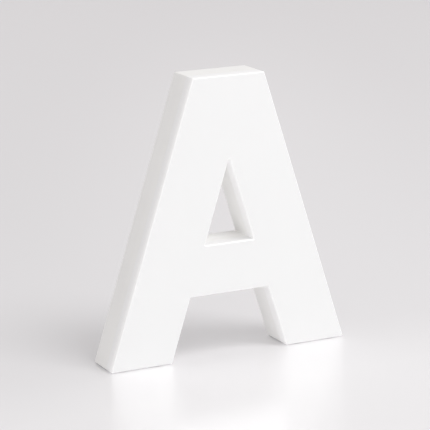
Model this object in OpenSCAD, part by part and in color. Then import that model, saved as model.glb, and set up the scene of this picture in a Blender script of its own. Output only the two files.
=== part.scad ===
// Light-up letter: a free-standing block capital A with a lit opal face, run from two round cells.
// X is the letter's width, Y its depth with the lit face towards -Y, and Z its height.
// The origin is on the surface that it stands on, in the middle of its width and its depth.

/* [Letter] */
// Height of the letter without its feet
letter_h = 240; // [232:1:280]
// Width across the two legs at the bottom
base_w = 221; // [214:1:250]
// Width of the flat top
top_w = 66; // [62:1:84]
// Width of each leg at the bottom, measured level
stroke_w = 56; // [53:1:60]
// Height of the crossbar's underside above the bottom of the legs
bar_z = 55; // [48:1:62]
// Thickness of the crossbar, top to bottom
bar_h = 43; // [43:1:52]
// Height of the counter's point above the bottom of the legs
counter_top = 171; // [164:1:180]
// Depth from the lit face to the back
depth = 35; // [34:0.5:46]

/* [Shell] */
// Thickness of the lit face
face_t = 2.5; // [1.5:0.1:4]
// Depth of the opal cap, face included
rim_depth = 12; // [10:0.5:13]
// Thickness of the opal cap's rim
rim_t = 2; // [1.5:0.1:2.5]
// Thickness of the white side walls
wall_t = 2.4; // [2:0.1:3]
// Thickness of the back panel
panel_t = 2.5; // [2.2:0.1:3]
// Length of the side shell's lip inside the opal rim
lip_len = 4; // [3:0.5:5]
// Thickness of that lip
lip_t = 1.2; // [0.8:0.1:1.6]
// Length of the thicker shoulder behind the lip
shoulder_l = 3; // [2:0.5:4]
// Gap at the seam between the opal rim and the side walls
seam_gap = 0.1; // [0.05:0.05:0.5]
// Sliding clearance between the lip and the opal rim
fit_gap = 0.15; // [0.1:0.05:0.3]
// Clearance round the back panel
panel_gap = 0.2; // [0.1:0.05:0.4]
// Thickness of the ribs that tie the counter's walls to the outer walls
rib_t = 2; // [1.2:0.2:3]
// Length of each snap nub in the opal rim
clip_l = 8; // [5:0.5:12]
// Thickness of each snap nub
clip_t = 1.2; // [0.8:0.1:1.6]
// How far a nub reaches into its window in the lip
clip_bite = 0.6; // [0.3:0.1:0.8]

/* [Feet] */
// Diameter of the foot pads
foot_d = 8; // [6:0.5:9]
// Thickness of the foot pads
foot_h = 0.8; // [0.5:0.1:2]
// Distance between the two pads of a row under one leg
foot_pitch = 32; // [20:1:36]
// Distance of the rear pads' centres from the back
foot_back = 6.5; // [5:0.5:9]

/* [Screws] */
// Diameter of the back panel's screws
screw_d = 3; // [2.5:0.1:3.5]
// Length of those screws, head included
screw_l = 10; // [8:0.5:12]
// Diameter of their countersunk heads
screw_head_d = 5.6; // [5:0.1:6]
// Height of the countersunk heads
screw_head_h = 1.6; // [1.2:0.1:1.8]
// Diameter of the bosses that they bite into
boss_d = 8; // [7:0.5:9]
// Length of those bosses
boss_l = 11; // [10:0.5:12]
// Diameter of the small screws inside
small_d = 2; // [1.6:0.1:2.4]
// Length of the small screws under the head
small_l = 5.5; // [5:0.5:6]
// Diameter of the small screws' round heads
small_head_d = 4; // [3.4:0.2:4.6]
// Height of the small screws' round heads
small_head_h = 1.4; // [1:0.1:1.8]
// Diameter of the pillars and bosses for the small screws
pillar_d = 6; // [5:0.5:7]
// Gap between a screw and the hole that it bites into
thread_gap = 0.05; // [0.02:0.01:0.1]
// Gap between a screw and the hole that it passes through
pass_gap = 0.25; // [0.15:0.05:0.4]

/* [Lamps] */
// Width of the lamp strips
strip_w = 10; // [8:0.5:11]
// Thickness of the lamp strips
strip_t = 1.2; // [0.8:0.1:1.6]
// Distance between lamps along a strip
led_pitch = 18; // [14:1:24]
// Length of a lamp along the strip
led_l = 3.5; // [2.5:0.1:4]
// Width of a lamp across the strip
led_w = 2.8; // [2.2:0.1:3.2]
// Height of a lamp
led_h = 1.4; // [0.8:0.1:2]
// Diameter of a lamp's round window
led_window_d = 2.2; // [1.6:0.1:2.2]
// Thickness of the reflector that carries the strips
tray_t = 1.5; // [1:0.1:2]
// Gap between the reflector and the cell box
tray_gap = 0.2; // [0.1:0.1:0.5]
// Gap between the reflector's edge and the lip
tray_edge = 0.4; // [0.3:0.1:0.8]

/* [Cells] */
// Diameter of a cell
cell_d = 14.5; // [14:0.1:14.5]
// Length of a cell's body
cell_l = 49.2; // [48:0.1:49.5]
// Diameter of a cell's positive nub
nub_d = 5.5; // [4.5:0.1:6]
// Length of a cell's positive nub
nub_l = 1.3; // [1:0.1:1.6]
// Gap between the two cells
cell_gap = 0.6; // [0.4:0.1:0.8]
// Play between a cell and the cell box
cell_play = 0.4; // [0.2:0.1:0.5]
// Thickness of the cell box's walls
box_t = 1.5; // [1.2:0.1:1.8]
// Width of the cell box's flange at its ends
flange_w = 2.5; // [2:0.5:3]
// Thickness of the spring contacts' and plates' sheet
contact_t = 0.5; // [0.3:0.1:0.7]
// Length of a contact spring under a cell
spring_l = 7; // [6.5:0.1:8]
// Diameter of the contact springs' wire
spring_wire = 0.7; // [0.5:0.05:0.8]
// Turns of a contact spring
spring_turns = 4; // [3:1:4]
// Radius of a contact spring at its wide end
spring_r = 4.6; // [4:0.1:5]
// Radius of a contact spring at its narrow end
spring_tip_r = 2.6; // [2:0.1:3]

/* [Door] */
// Thickness of the battery door
door_t = 2.3; // [2:0.1:2.5]
// Gap round the battery door
door_gap = 0.3; // [0.2:0.05:0.4]
// How far the door laps over the cell box's walls
door_lap = 0.9; // [0.6:0.1:1.2]
// Gap between the door and the cells
lid_gap = 0.4; // [0.3:0.1:0.8]
// Radius of the door's hinge barrel
hinge_r = 1.6; // [1.5:0.1:1.8]
// Length of the hinge barrel
barrel_l = 20; // [14:1:22]
// Diameter of the hinge pins
pin_d = 2; // [1.6:0.1:2.2]
// Length of each hinge pin
pin_l = 2.8; // [2:0.1:3.2]
// Radial clearance of the hinge pins
pin_gap = 0.05; // [0.03:0.01:0.08]
// Length of the door's springy tongue
tongue_l = 13; // [10:1:16]
// Width of the door's springy tongue
tongue_w = 11; // [8:1:14]
// Depth of the finger scoop and of the tongue's hollow
scoop_depth = 1; // [0.6:0.1:1.2]

/* [Switch] */
// Width of the switch knob
knob_w = 4; // [3:0.5:5]
// Length of the switch knob
knob_l = 5; // [4:0.5:6]
// Travel of the switch knob
switch_travel = 4; // [2:0.5:5]
// Gap round the switch knob
knob_gap = 0.3; // [0.2:0.05:0.4]
// Height of the switch body
switch_h = 4.8; // [4:0.1:5.5]
// Depth of the pocket round the switch knob
pocket_depth = 1.2; // [0.8:0.1:1.4]
// Width of the control board
board_w = 22; // [20:1:24]
// Height of the control board
board_h = 40; // [38:1:44]
// Thickness of the control board
board_t = 1.6; // [1:0.1:2]

/* [Hanging] */
// Distance between the two keyholes
keyhole_pitch = 40; // [34:1:50]
// Radius of a keyhole's entry
keyhole_r = 4.25; // [3.5:0.25:4.5]
// Radius of a keyhole's narrow slot
keyhole_slot_r = 2.25; // [1.75:0.25:2.5]
// Rise of the narrow slot above the entry's centre
keyhole_rise = 9; // [7:0.5:11]
// Height of the entries below the letter's top
keyhole_drop = 50; // [46:1:54]

/* [Leads] */
// Diameter of the insulated leads
lead_d = 1.5; // [1:0.1:1.8]
// Diameter of the wire links between the strips
link_d = 1; // [0.8:0.1:1.2]

/* [Hidden] */
$fn = 48;

// Overlap of shapes that are moulded in one piece, and overrun of cuts
weld = 0.2;
over = 1;

// Heights
foot_z = foot_h;
top_z = foot_z + letter_h;
bar_lo = foot_z + bar_z;
bar_hi = bar_lo + bar_h;
bar_mid = (bar_lo + bar_hi) / 2;
apex_z = foot_z + counter_top;

// Half widths of the letter's outside and of the gap between its legs, at a height
foot_gap = base_w - 2 * stroke_w;
lean = (base_w - top_w) / 2 / letter_h;
lean_angle = atan(lean);
function outside_x(z) = base_w / 2 - lean * (z - foot_z);
function gap_x(z) = foot_gap / 2 * (1 - (z - foot_z) / counter_top);
function leg_mid(z) = outside_x(z) - stroke_w / 2;

// The letter's two outlines, clockwise, so that an edge of the outer one has the letter on its right
outer = [
    [-base_w / 2, foot_z], [-top_w / 2, top_z], [top_w / 2, top_z], [base_w / 2, foot_z],
    [foot_gap / 2, foot_z], [gap_x(bar_lo), bar_lo], [-gap_x(bar_lo), bar_lo], [-foot_gap / 2, foot_z]
];
counter = [[-gap_x(bar_hi), bar_hi], [0, apex_z], [gap_x(bar_hi), bar_hi]];

// Layers from the lit face to the back
y_front = -depth / 2;
y_face = y_front + face_t;
y_rim = y_front + rim_depth;
y_split = y_rim + seam_gap;
y_clip = y_split - lip_len / 2;
y_back = depth / 2;
y_panel = y_back - panel_t;
y_lid = y_back - door_t;
y_cell = y_lid - lid_gap - cell_d / 2;
y_floor = y_cell - cell_d / 2 - cell_play;
y_box = y_floor - box_t;
y_seat = min(y_panel, y_lid - door_gap);
y_tray = y_box - tray_gap;
y_strip = y_tray - tray_t;
y_lamp = y_strip - strip_t;
lip_in = rim_t + fit_gap + lip_t;

// Bosses along the side walls: two corners of the edge, then how far along it
boss_merge = 0.6;
pilot_over = 0.5;
boss_inset = wall_t + boss_d / 2 - boss_merge;
boss_marks = [
    [outer[0], outer[1], 0.08], [outer[0], outer[1], 0.52], [outer[0], outer[1], 0.93],
    [outer[2], outer[3], 0.07], [outer[2], outer[3], 0.48], [outer[2], outer[3], 0.92],
    [outer[4], outer[5], 0.45], [outer[6], outer[7], 0.55],
    [counter[1], counter[0], 0.55], [counter[2], counter[1], 0.45]
];
boss_spots = [for (m = boss_marks) edge_spot(m[0], m[1], m[2], boss_inset)];

// Snap nubs along the rim, given in the same way
clip_marks = [
    [outer[0], outer[1], 0.2], [outer[0], outer[1], 0.5], [outer[0], outer[1], 0.8],
    [outer[1], outer[2], 0.5],
    [outer[2], outer[3], 0.2], [outer[2], outer[3], 0.5], [outer[2], outer[3], 0.8],
    [outer[4], outer[5], 0.5], [outer[5], outer[6], 0.5], [outer[6], outer[7], 0.5],
    [counter[1], counter[0], 0.6], [counter[2], counter[1], 0.4], [counter[0], counter[2], 0.5]
];
clip_slack = 0.3;

// Ribs between the counter's walls and the outer walls
rib_below_apex = 25;
rib_z = apex_z - rib_below_apex;
rib_clear = 3;
y_rib = y_tray + rib_clear;

// Pillars that carry the reflector, beside the lamp strips
pillar_clear = 2;
pillar_above_foot = 45;
pillar_below_apex = 10;
pillar_below_top = 20;
pillar_heights = [foot_z + pillar_above_foot, apex_z - pillar_below_apex, top_z - pillar_below_top];
function pillar_x(z) = leg_mid(z) + strip_w / 2 + pillar_d / 2 + pillar_clear;
pillar_spots = [for (side = [-1, 1], z = pillar_heights) [side * pillar_x(z), z]];

// The cell box, its two ears and the two cells
cell_pitch = cell_d + cell_gap;
cavity_l = 2 * contact_t + spring_l + cell_l + nub_l;
cavity_h = 2 * cell_d + cell_gap + 2 * cell_play;
box_x = cavity_l / 2 + box_t;
box_z = cavity_h / 2 + box_t;
flange_z = 1.2;
ear_reach = 11;
ear_x = box_x + ear_reach;
ear_r = 3.5;
ear_half = 5;
ear_boss_l = 4.5;
y_ear = y_panel - ear_boss_l;
ear_spots = [for (side = [-1, 1]) [side * ear_x, bar_mid]];
cell_rib_t = 1.2;
cell_rib_h = 3;
plate_half = 5;
tab_w = 3;
tab_out = 2.5;
tab_gap = 0.2;

// The battery door and its hinge, which runs up the door's -X end
door_x = box_x + door_lap;
door_z = cavity_h / 2 + door_lap;
hinge_clear = 0.5;
swing_gap = 0.6;
pin_end_gap = 0.4;
socket_wall = 0.8;
barrel_sink = 0.1;
hinge_x = -(box_x + flange_w + hinge_r + hinge_clear);
hinge_y = y_back - hinge_r - barrel_sink;
barrel_half = barrel_l / 2;
// The opening's edge beside the hinge stays clear of the door's edge as that swings past it
hinge_edge = -door_x - hinge_x;
swing_edge = sqrt(pow(hinge_edge - door_gap, 2) - pow(y_back - hinge_y, 2));
socket_l = pin_l + pin_end_gap;
block_l = socket_l + socket_wall;
socket_end = barrel_half + door_gap + socket_l;
block_half = 2;
block_deep = 1.7;
slit_w = 0.8;
bead_r = 0.5;
bead_out = 0.2;
scoop_r = 7;
grip_ribs = 4;
grip_rib_t = 0.8;

// The control board beside the cell box, and the switch on it
board_margin = 2;
board_x = ear_x + ear_r + board_margin + board_w / 2;
y_board = y_panel - knob_gap - switch_h;
y_parts = y_board - board_t;
board_hole_x = 7;
board_hole_in = 4;
board_hole_z = board_h / 2 - board_hole_in;
board_spots = [for (side = [-1, 1]) [board_x - side * board_hole_x, bar_mid + side * board_hole_z]];
knob_flange = 1;
flange_w_knob = knob_w + knob_flange;
flange_l_knob = knob_l + 2 * knob_flange;
knob_flange_t = 1.6;
switch_wall = 1.5;
switch_w = flange_w_knob + 2 * knob_gap + 2 * switch_wall;
switch_l = flange_l_knob + switch_travel + 2 * knob_gap + 2 * switch_wall;
well_depth = knob_flange_t + 2 * knob_gap;
pocket_margin = 3;
knob_sink = 0.2;
groove_deep = 0.5;
groove_w = 0.6;
// The knob rests at the bottom of its travel, which is on
knob_z = bar_mid - switch_travel / 2;
connector_w = 8;
connector_l = 6;
connector_h = 5;
battery_plug_drop = 11;
led_plug_rise = 5;
plug_in = 0.5;
battery_plug_z = bar_mid - battery_plug_drop;
led_plug_z = bar_mid + led_plug_rise;
plug_x = board_x - board_w / 2 + connector_w / 2 + plug_in;
plug_y = y_parts - connector_h / 2;
lead_pitch = 3;
// Parts on the board's front: place across and up from its middle, and width, height and length
chip_at = [4, -5];
chip_size = [4, 1.5, 5];
inductor_at = [5, 5];
inductor_size = [6, 3, 6];
capacitor_at = [4.5, 14];
capacitor_d = 5;
capacitor_h = 6;

// Lamp strips
strip_above_foot = 14;
strip_below_top = 16;
strip_low = foot_z + strip_above_foot;
strip_high = top_z - strip_below_top;
strip_len = (strip_high - strip_low) / cos(lean_angle);
strip_end_gap = 5;
bar_strip_x = leg_mid(bar_mid) - strip_w / 2 / cos(lean_angle) - strip_end_gap;
leg_leds = floor((strip_len - led_l) / led_pitch) + 1;
bar_leds = 2 * floor((bar_strip_x - led_l) / led_pitch) + 1;
led_window_h = 0.2;
resistor_l = 2;
resistor_w = 1.3;
resistor_h = 0.6;

// The hole in the reflector for the lamp leads, and where they are soldered
port_out = 4;
port_x = box_x + flange_w + port_out;
port_w = 7;
port_h = 7;
port_clear = 1;
pad_in = 1.5;
port_z = bar_mid + strip_w / 2 + port_clear + port_h / 2;
pad_z = bar_mid + strip_w / 2 - pad_in;

// Heights of the keyholes' entries
keyhole_z = top_z - keyhole_drop;

// Points and outlines

function right_of(a, b) = [b[1] - a[1], a[0] - b[0]] / norm(b - a);

// The point where the line from p along d meets the line from q along e
function meet(p, d, q, e) =
    p + d * ((q[0] - p[0]) * e[1] - (q[1] - p[1]) * e[0]) / (d[0] * e[1] - d[1] * e[0]);

// An outline with every edge moved to its right by a distance
function inset(points, by) = [
    for (i = [0 : len(points) - 1])
        let (
            n = len(points),
            a = points[(i + n - 1) % n],
            b = points[i],
            c = points[(i + 1) % n]
        )
        meet(b + by * right_of(a, b), b - a, b + by * right_of(b, c), c - b)
];

function edge_spot(a, b, share, by) = a + share * (b - a) + by * right_of(a, b);

// A curve through hand-chosen points, straight between the last two at each end
function route(p, steps) = concat(
    [p[0]],
    through([for (i = [1 : len(p) - 2]) p[i]], steps),
    [p[len(p) - 1]]
);

// A curve through points, with steps between each two
function through(p, steps) = concat(
    [
        for (i = [0 : len(p) - 2], s = [0 : steps - 1])
            let (
                t = s / steps,
                a = p[max(i - 1, 0)],
                b = p[i],
                c = p[i + 1],
                d = p[min(i + 2, len(p) - 1)]
            )
            0.5 * (2 * b + (c - a) * t + (2 * a - 5 * b + 4 * c - d) * t * t
                + (3 * b - a - 3 * c + d) * t * t * t)
    ],
    [p[len(p) - 1]]
);

function unit(v) = v / norm(v);

function heading(p, i) = unit(p[min(i + 1, len(p) - 1)] - p[max(i - 1, 0)]);

// One sideways direction for each point of a path, carried along it without twist
function sideways(p, i, last) =
    let (
        h = heading(p, i),
        n = unit(last - (last * h) * h)
    )
    i == len(p) - 1 ? [n] : concat([n], sideways(p, i + 1, n));

// Springs

spring_ring = 8;
spring_bend = 0.5;

// The contact spring's path from its plate at 0 to the cell: straight, a bend, its turns, and the same again
function spring_point(turn, along, radius) = [along, radius * cos(360 * turn), radius * sin(360 * turn)];
function spring_radius(turn) = spring_r + (spring_tip_r - spring_r) * turn / spring_turns;
function spring_path() =
    let (
        low = spring_wire + spring_bend,
        high = spring_l - low,
        first = spring_bend / (2 * PI * spring_r),
        last = spring_turns - spring_bend / (2 * PI * spring_tip_r),
        steps = spring_ring * spring_turns
    )
    concat(
        [
            spring_point(0, 0, spring_r),
            spring_point(0, spring_wire, spring_r),
            spring_point(first / 4, spring_wire + spring_bend * 0.7, spring_r)
        ],
        [
            for (i = [0 : steps])
                let (turn = first + (last - first) * i / steps)
                spring_point(turn, low + (high - low) * i / steps, spring_radius(turn))
        ],
        [
            spring_point(spring_turns, spring_l - spring_wire - spring_bend * 0.3, spring_tip_r),
            spring_point(spring_turns, spring_l - spring_wire, spring_tip_r),
            spring_point(spring_turns, spring_l, spring_tip_r)
        ]
    );

spring_line = spring_path();
spring_least_gap = min([
    for (i = [0 : len(spring_line) - 1], j = [i + spring_ring - 2 : 1 : len(spring_line) - 1])
        norm(spring_line[i] - spring_line[j])
]) - spring_wire;
echo(spring_least_gap = spring_least_gap);

// Routes of the leads, from where each is soldered to where it is plugged in

tab_end_x = box_x + tab_out;
plug_face_x = plug_x - connector_w / 2;

function battery_route(side) =
    let (
        from = [tab_end_x, y_cell, bar_mid + side * cell_pitch / 2],
        to = [plug_face_x, plug_y, battery_plug_z + side * lead_pitch / 2]
    )
    [
        from,
        from + [lead_d, 0, 0],
        from + [3.5, -2.5, side > 0 ? -3 : -1],
        [(from[0] + to[0]) / 2, y_cell - 5, (from[2] + to[2]) / 2],
        to + [-3.5, -1.5, 1],
        to + [-lead_d, 0, 0],
        to
    ];

function led_route(side) =
    let (
        from = [plug_face_x, plug_y, led_plug_z + side * lead_pitch / 2],
        to = [port_x + side * lead_pitch / 2, y_lamp, pad_z]
    )
    [
        from,
        from + [-lead_d, 0, 0],
        from + [-4, -2, 2],
        [to[0], (plug_y + y_tray) / 2 - 1, port_z],
        [to[0], y_strip - 1, port_z],
        [to[0], y_lamp - 2.5, port_z - 2],
        [to[0], y_lamp - 3, (port_z + pad_z) / 2 - 1],
        [to[0], y_lamp - lead_d, pad_z],
        to
    ];

// A wire link that arches from the bar's strip to a leg's strip
link_reach = 1.5;
function link_route(side, dz) =
    let (
        from = bar_strip_x - link_reach,
        to = bar_strip_x + strip_end_gap + link_reach,
        z = bar_mid + dz
    )
    [
        [side * from, y_lamp, z],
        [side * from, y_lamp - 1.2, z],
        [side * (from * 0.7 + to * 0.3), y_lamp - 2.4, z],
        [side * (from * 0.3 + to * 0.7), y_lamp - 2.4, z],
        [side * to, y_lamp - 1.2, z],
        [side * to, y_lamp, z]
    ];

// Building blocks

// A flat shape in X and Z, given depth along Y
module slab(from, to) {
    translate([0, to, 0]) rotate([90, 0, 0]) linear_extrude(to - from) children();
}

module at(spot) {
    translate([spot[0], 0, spot[1]]) children();
}

// A round bar along Y
module rod(from, to, d) {
    translate([0, to, 0]) rotate([90, 0, 0]) cylinder(d = d, h = to - from);
}

// A round bar along X, and one along Z
module bar_along_x(from, to, d) {
    translate([from, 0, 0]) rotate([0, 90, 0]) cylinder(d = d, h = to - from);
}

module bar_along_z(from, to, d) {
    translate([0, 0, from]) cylinder(d = d, h = to - from);
}

// A block given by its lowest and highest corners
module block(low, high) {
    translate(low) cube(high - low);
}

module letter(by) {
    difference() {
        polygon(inset(outer, by));
        polygon(inset(counter, -by));
    }
}

module ring(from, to) {
    difference() {
        letter(from);
        letter(to);
    }
}

// Oblongs along the letter's edges, between two distances inside them
module edge_marks(marks, length, from, to) {
    for (m = marks) {
        a = m[0];
        b = m[1];
        translate(a + m[2] * (b - a)) rotate(atan2(b[1] - a[1], b[0] - a[0]))
            translate([-length / 2, -to]) square([length, to - from]);
    }
}

// A round tube along a path
module tube(path, d, sides) {
    first = heading(path, 0);
    start = abs(first[2]) < 0.7 ? [0, 0, 1] : [1, 0, 0];
    across = sideways(path, 0, start);
    count = len(path);
    points = [
        for (i = [0 : count - 1], k = [0 : sides - 1])
            path[i] + d / 2 * (cos(360 * k / sides) * across[i]
                + sin(360 * k / sides) * cross(heading(path, i), across[i]))
    ];
    walls = [
        for (i = [0 : count - 2], k = [0 : sides - 1], half = [0, 1])
            let (
                a = i * sides + k,
                b = i * sides + (k + 1) % sides
            )
            half == 0 ? [a, a + sides, b] : [b, a + sides, b + sides]
    ];
    near = [for (k = [1 : sides - 2]) [0, k, k + 1]];
    far = [for (k = [1 : sides - 2]) [0, k + 1, k] + [1, 1, 1] * (count - 1) * sides];
    polyhedron(points, concat(walls, near, far));
}

// A screw along +Y with a cross recess, its flat or round head at the front
module cross_recess(size, deep) {
    for (turn = [0, 90])
        rotate([0, turn, 0]) block([-size / 2, -over, -size / 10], [size / 2, deep, size / 10]);
}

module small_screw(spot, seat) {
    at(spot) difference() {
        union() {
            rod(seat - small_head_h, seat, small_head_d);
            rod(seat - weld, seat + small_l, small_d);
        }
        translate([0, seat - small_head_h, 0]) cross_recess(small_head_d * 0.6, small_head_h * 0.6);
    }
}

// Shell

module front_diffuser() color("white") {
    union() {
        slab(y_front, y_face) letter(0);
        slab(y_front, y_rim) ring(0, rim_t);
        slab(y_clip - clip_t / 2, y_clip + clip_t / 2)
            edge_marks(clip_marks, clip_l, rim_t - weld, rim_t + fit_gap + clip_bite);
    }
}

module shell_ribs() {
    for (side = [-1, 1]) {
        near = gap_x(rib_z) + wall_t;
        far = outside_x(rib_z) - wall_t;
        slab(y_rib, y_panel)
            translate([side > 0 ? near : -far, rib_z - rib_t / 2]) square([far - near, rib_t]);
    }
    slab(y_rib, y_panel)
        translate([-rib_t / 2, apex_z + wall_t]) square([rib_t, top_z - apex_z - 1.5 * wall_t]);
}

module side_shell() color("white") difference() {
    union() {
        slab(y_split, y_back) ring(0, wall_t);
        slab(y_split, y_split + shoulder_l) ring(0, lip_in);
        slab(y_split - lip_len, y_split + shoulder_l) ring(rim_t + fit_gap, lip_in);
        for (s = boss_spots) at(s) rod(y_panel - boss_l, y_panel, boss_d);
        shell_ribs();
    }
    slab(y_clip - clip_t / 2 - clip_slack, y_clip + clip_t / 2 + clip_slack)
        edge_marks(clip_marks, clip_l + 2 * clip_slack, rim_t, lip_in + weld);
    for (s = boss_spots) at(s) rod(y_back - screw_l - pilot_over, y_panel + over, screw_d + 2 * thread_gap);
}

module keyhole() {
    circle(keyhole_r);
    translate([0, keyhole_rise]) circle(keyhole_slot_r);
    translate([-keyhole_slot_r, 0]) square([2 * keyhole_slot_r, keyhole_rise]);
}

// The battery door's outline, grown by a gap, from a distance beside the hinge
module door_outline(edge, gap) {
    translate([hinge_x + edge, bar_mid - door_z - gap])
        square([door_x + gap - hinge_x - edge, 2 * (door_z + gap)]);
    translate([hinge_x, bar_mid - barrel_half - gap]) square([-door_x - hinge_x, 2 * (barrel_half + gap)]);
}

// The space that the switch knob moves in, grown by a margin
module knob_window(margin) {
    translate([board_x, bar_mid])
        square([knob_w + 2 * margin, knob_l + switch_travel + 2 * margin], center = true);
}

module hinge_blocks() {
    for (side = [-1, 1]) {
        low = side > 0 ? barrel_half + door_gap : -barrel_half - door_gap - block_l;
        block([hinge_x - block_half, y_panel - block_deep, bar_mid + low],
            [hinge_x + block_half, y_panel + weld, bar_mid + low + block_l]);
    }
}

module back_panel() color("whitesmoke") difference() {
    union() {
        slab(y_panel, y_back) letter(wall_t + panel_gap);
        for (s = pillar_spots) at(s) rod(y_tray, y_panel + weld, pillar_d);
        for (s = ear_spots) at(s) rod(y_ear, y_panel + weld, pillar_d);
        for (s = board_spots) at(s) rod(y_board, y_panel + weld, pillar_d);
        hinge_blocks();
    }
    for (s = boss_spots) at(s) {
        rod(y_panel - over, y_back + over, screw_d + 2 * pass_gap);
        translate([0, y_back, 0]) rotate([90, 0, 0])
            cylinder(d1 = screw_head_d + 2 * thread_gap, d2 = screw_d + 2 * thread_gap, h = screw_head_h);
    }
    for (s = pillar_spots) at(s) rod(y_tray - over, y_tray + small_l, small_d + 2 * thread_gap);
    for (s = ear_spots) at(s) rod(y_ear - over, y_ear + small_l, small_d + 2 * thread_gap);
    for (s = board_spots) at(s) rod(y_board - over, y_board + small_l, small_d + 2 * thread_gap);
    slab(y_panel - over, y_back + over) door_outline(swing_edge, door_gap);
    slab(y_panel - over, y_back + over)
        translate([hinge_x - hinge_r - swing_gap, bar_mid - barrel_half - door_gap])
        square([hinge_r + swing_gap + weld, barrel_l + 2 * door_gap]);
    translate([hinge_x, hinge_y, bar_mid])
        bar_along_z(-socket_end, socket_end, pin_d + 2 * pin_gap);
    slab(y_back - scoop_depth, y_back + over)
        translate([door_x + door_gap, bar_mid]) circle(scoop_r);
    slab(y_back - pocket_depth, y_back + over) knob_window(pocket_margin);
    slab(y_panel - over, y_back) knob_window(knob_gap);
    for (side = [-1, 1])
        slab(y_panel - over, y_back + over)
            translate([side * keyhole_pitch / 2, keyhole_z]) keyhole();
}

module panel_screws() color("silver") {
    for (s = boss_spots) at(s) difference() {
        union() {
            translate([0, y_back, 0]) rotate([90, 0, 0])
                cylinder(d1 = screw_head_d, d2 = screw_d, h = screw_head_h);
            rod(y_back - screw_l, y_back - screw_head_h + weld, screw_d);
        }
        mirror([0, 1, 0]) translate([0, -y_back, 0]) cross_recess(screw_head_d * 0.6, screw_head_h * 0.7);
    }
}

module foot_pads() color("gainsboro") {
    for (side = [-1, 1], step = [-1, 1], y = [y_front + rim_depth / 2, y_back - foot_back])
        translate([side * (base_w - stroke_w) / 2 + step * foot_pitch / 2, y, 0])
            bar_along_z(0, foot_h, foot_d);
}

// Lamps

module reflector_tray() color("white") difference() {
    slab(y_strip, y_tray) letter(lip_in + tray_edge);
    for (s = pillar_spots) at(s) rod(y_strip - over, y_tray + over, small_d + 2 * pass_gap);
    slab(y_strip - over, y_tray + over)
        translate([port_x - port_w / 2, port_z - port_h / 2]) square([port_w, port_h]);
}

module reflector_screws() color("silver") {
    for (s = pillar_spots) small_screw(s, y_strip);
}

// Flat shapes laid along a leg's strip: their Y runs up the leg from the strip's foot
module along_leg(side) {
    translate([side * leg_mid(strip_low), strip_low]) rotate(side * lean_angle) children();
}

module leg_strip(side) {
    slab(y_lamp, y_strip) along_leg(side) translate([-strip_w / 2, 0]) square([strip_w, strip_len]);
}

module led_strip_left() color("white") leg_strip(-1);

module led_strip_right() color("white") leg_strip(1);

module led_strip_bar() color("white") {
    slab(y_lamp, y_strip)
        translate([-bar_strip_x, bar_mid - strip_w / 2]) square([2 * bar_strip_x, strip_w]);
}

// Distance of a lamp from a leg strip's foot
function led_at(i) = strip_len / 2 + (i - (leg_leds - 1) / 2) * led_pitch;

module lamp_body() {
    translate([-led_w / 2, -led_l / 2]) square([led_w, led_l]);
}

module leg_leds(side) {
    for (i = [0 : leg_leds - 1]) {
        slab(y_lamp - led_h, y_lamp) along_leg(side) translate([0, led_at(i)]) lamp_body();
        slab(y_lamp - led_h - led_window_h, y_lamp - weld)
            along_leg(side) translate([0, led_at(i)]) circle(d = led_window_d);
    }
}

module leds_left() color("lightyellow") leg_leds(-1);

module leds_right() color("lightyellow") leg_leds(1);

module leds_bar() color("lightyellow") {
    for (i = [0 : bar_leds - 1])
        translate([(i - (bar_leds - 1) / 2) * led_pitch, 0, bar_mid]) {
            slab(y_lamp - led_h, y_lamp) rotate(90) lamp_body();
            slab(y_lamp - led_h - led_window_h, y_lamp - weld) circle(d = led_window_d);
        }
}

module strip_resistors() color("dimgray") {
    for (side = [-1, 1], i = [0 : 2 : leg_leds - 2])
        slab(y_lamp - resistor_h, y_lamp) along_leg(side)
            translate([-resistor_w / 2, led_at(i) + led_pitch / 2 - resistor_l / 2])
            square([resistor_w, resistor_l]);
    for (i = [0 : 2 : bar_leds - 2])
        slab(y_lamp - resistor_h, y_lamp)
            translate([(i + 0.5 - (bar_leds - 1) / 2) * led_pitch - resistor_l / 2, bar_mid - resistor_w / 2])
            square([resistor_l, resistor_w]);
}

module strip_links() color("firebrick") {
    for (side = [-1, 1], dz = [-1, 1]) tube(route(link_route(side, dz * strip_w / 4), 3), link_d, 8);
}

// Cells

module battery_box() color("white") difference() {
    union() {
        difference() {
            union() {
                block([-box_x, y_box, bar_mid - box_z], [box_x, y_seat, bar_mid + box_z]);
                block([-box_x - flange_w, y_seat - box_t, bar_mid - box_z - flange_z],
                    [box_x + flange_w, y_seat, bar_mid + box_z + flange_z]);
                block([-ear_x - ear_r, y_ear - box_t, bar_mid - ear_half],
                    [ear_x + ear_r, y_ear, bar_mid + ear_half]);
            }
            block([-cavity_l / 2, y_floor, bar_mid - cavity_h / 2],
                [cavity_l / 2, y_panel + over, bar_mid + cavity_h / 2]);
        }
        block([-cavity_l / 2 - weld, y_floor - weld, bar_mid - cell_rib_t / 2],
            [cavity_l / 2 + weld, y_floor + cell_rib_h, bar_mid + cell_rib_t / 2]);
    }
    block([-cavity_l / 2, y_cell - plate_half - tab_gap, bar_mid - cell_rib_t],
        [-cavity_l / 2 + contact_t + tab_gap, y_cell + plate_half, bar_mid + cell_rib_t]);
    for (s = ear_spots) at(s) rod(y_ear - box_t - over, y_ear + over, small_d + 2 * pass_gap);
    for (side = [-1, 1])
        translate([0, y_cell, bar_mid + side * cell_pitch / 2])
            block([cavity_l / 2 - over, -contact_t / 2 - tab_gap, -tab_w / 2 - tab_gap],
                [box_x + over, contact_t / 2 + tab_gap, tab_w / 2 + tab_gap]);
}

module battery_box_screws() color("silver") {
    for (s = ear_spots) small_screw(s, y_ear - box_t);
}

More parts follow.
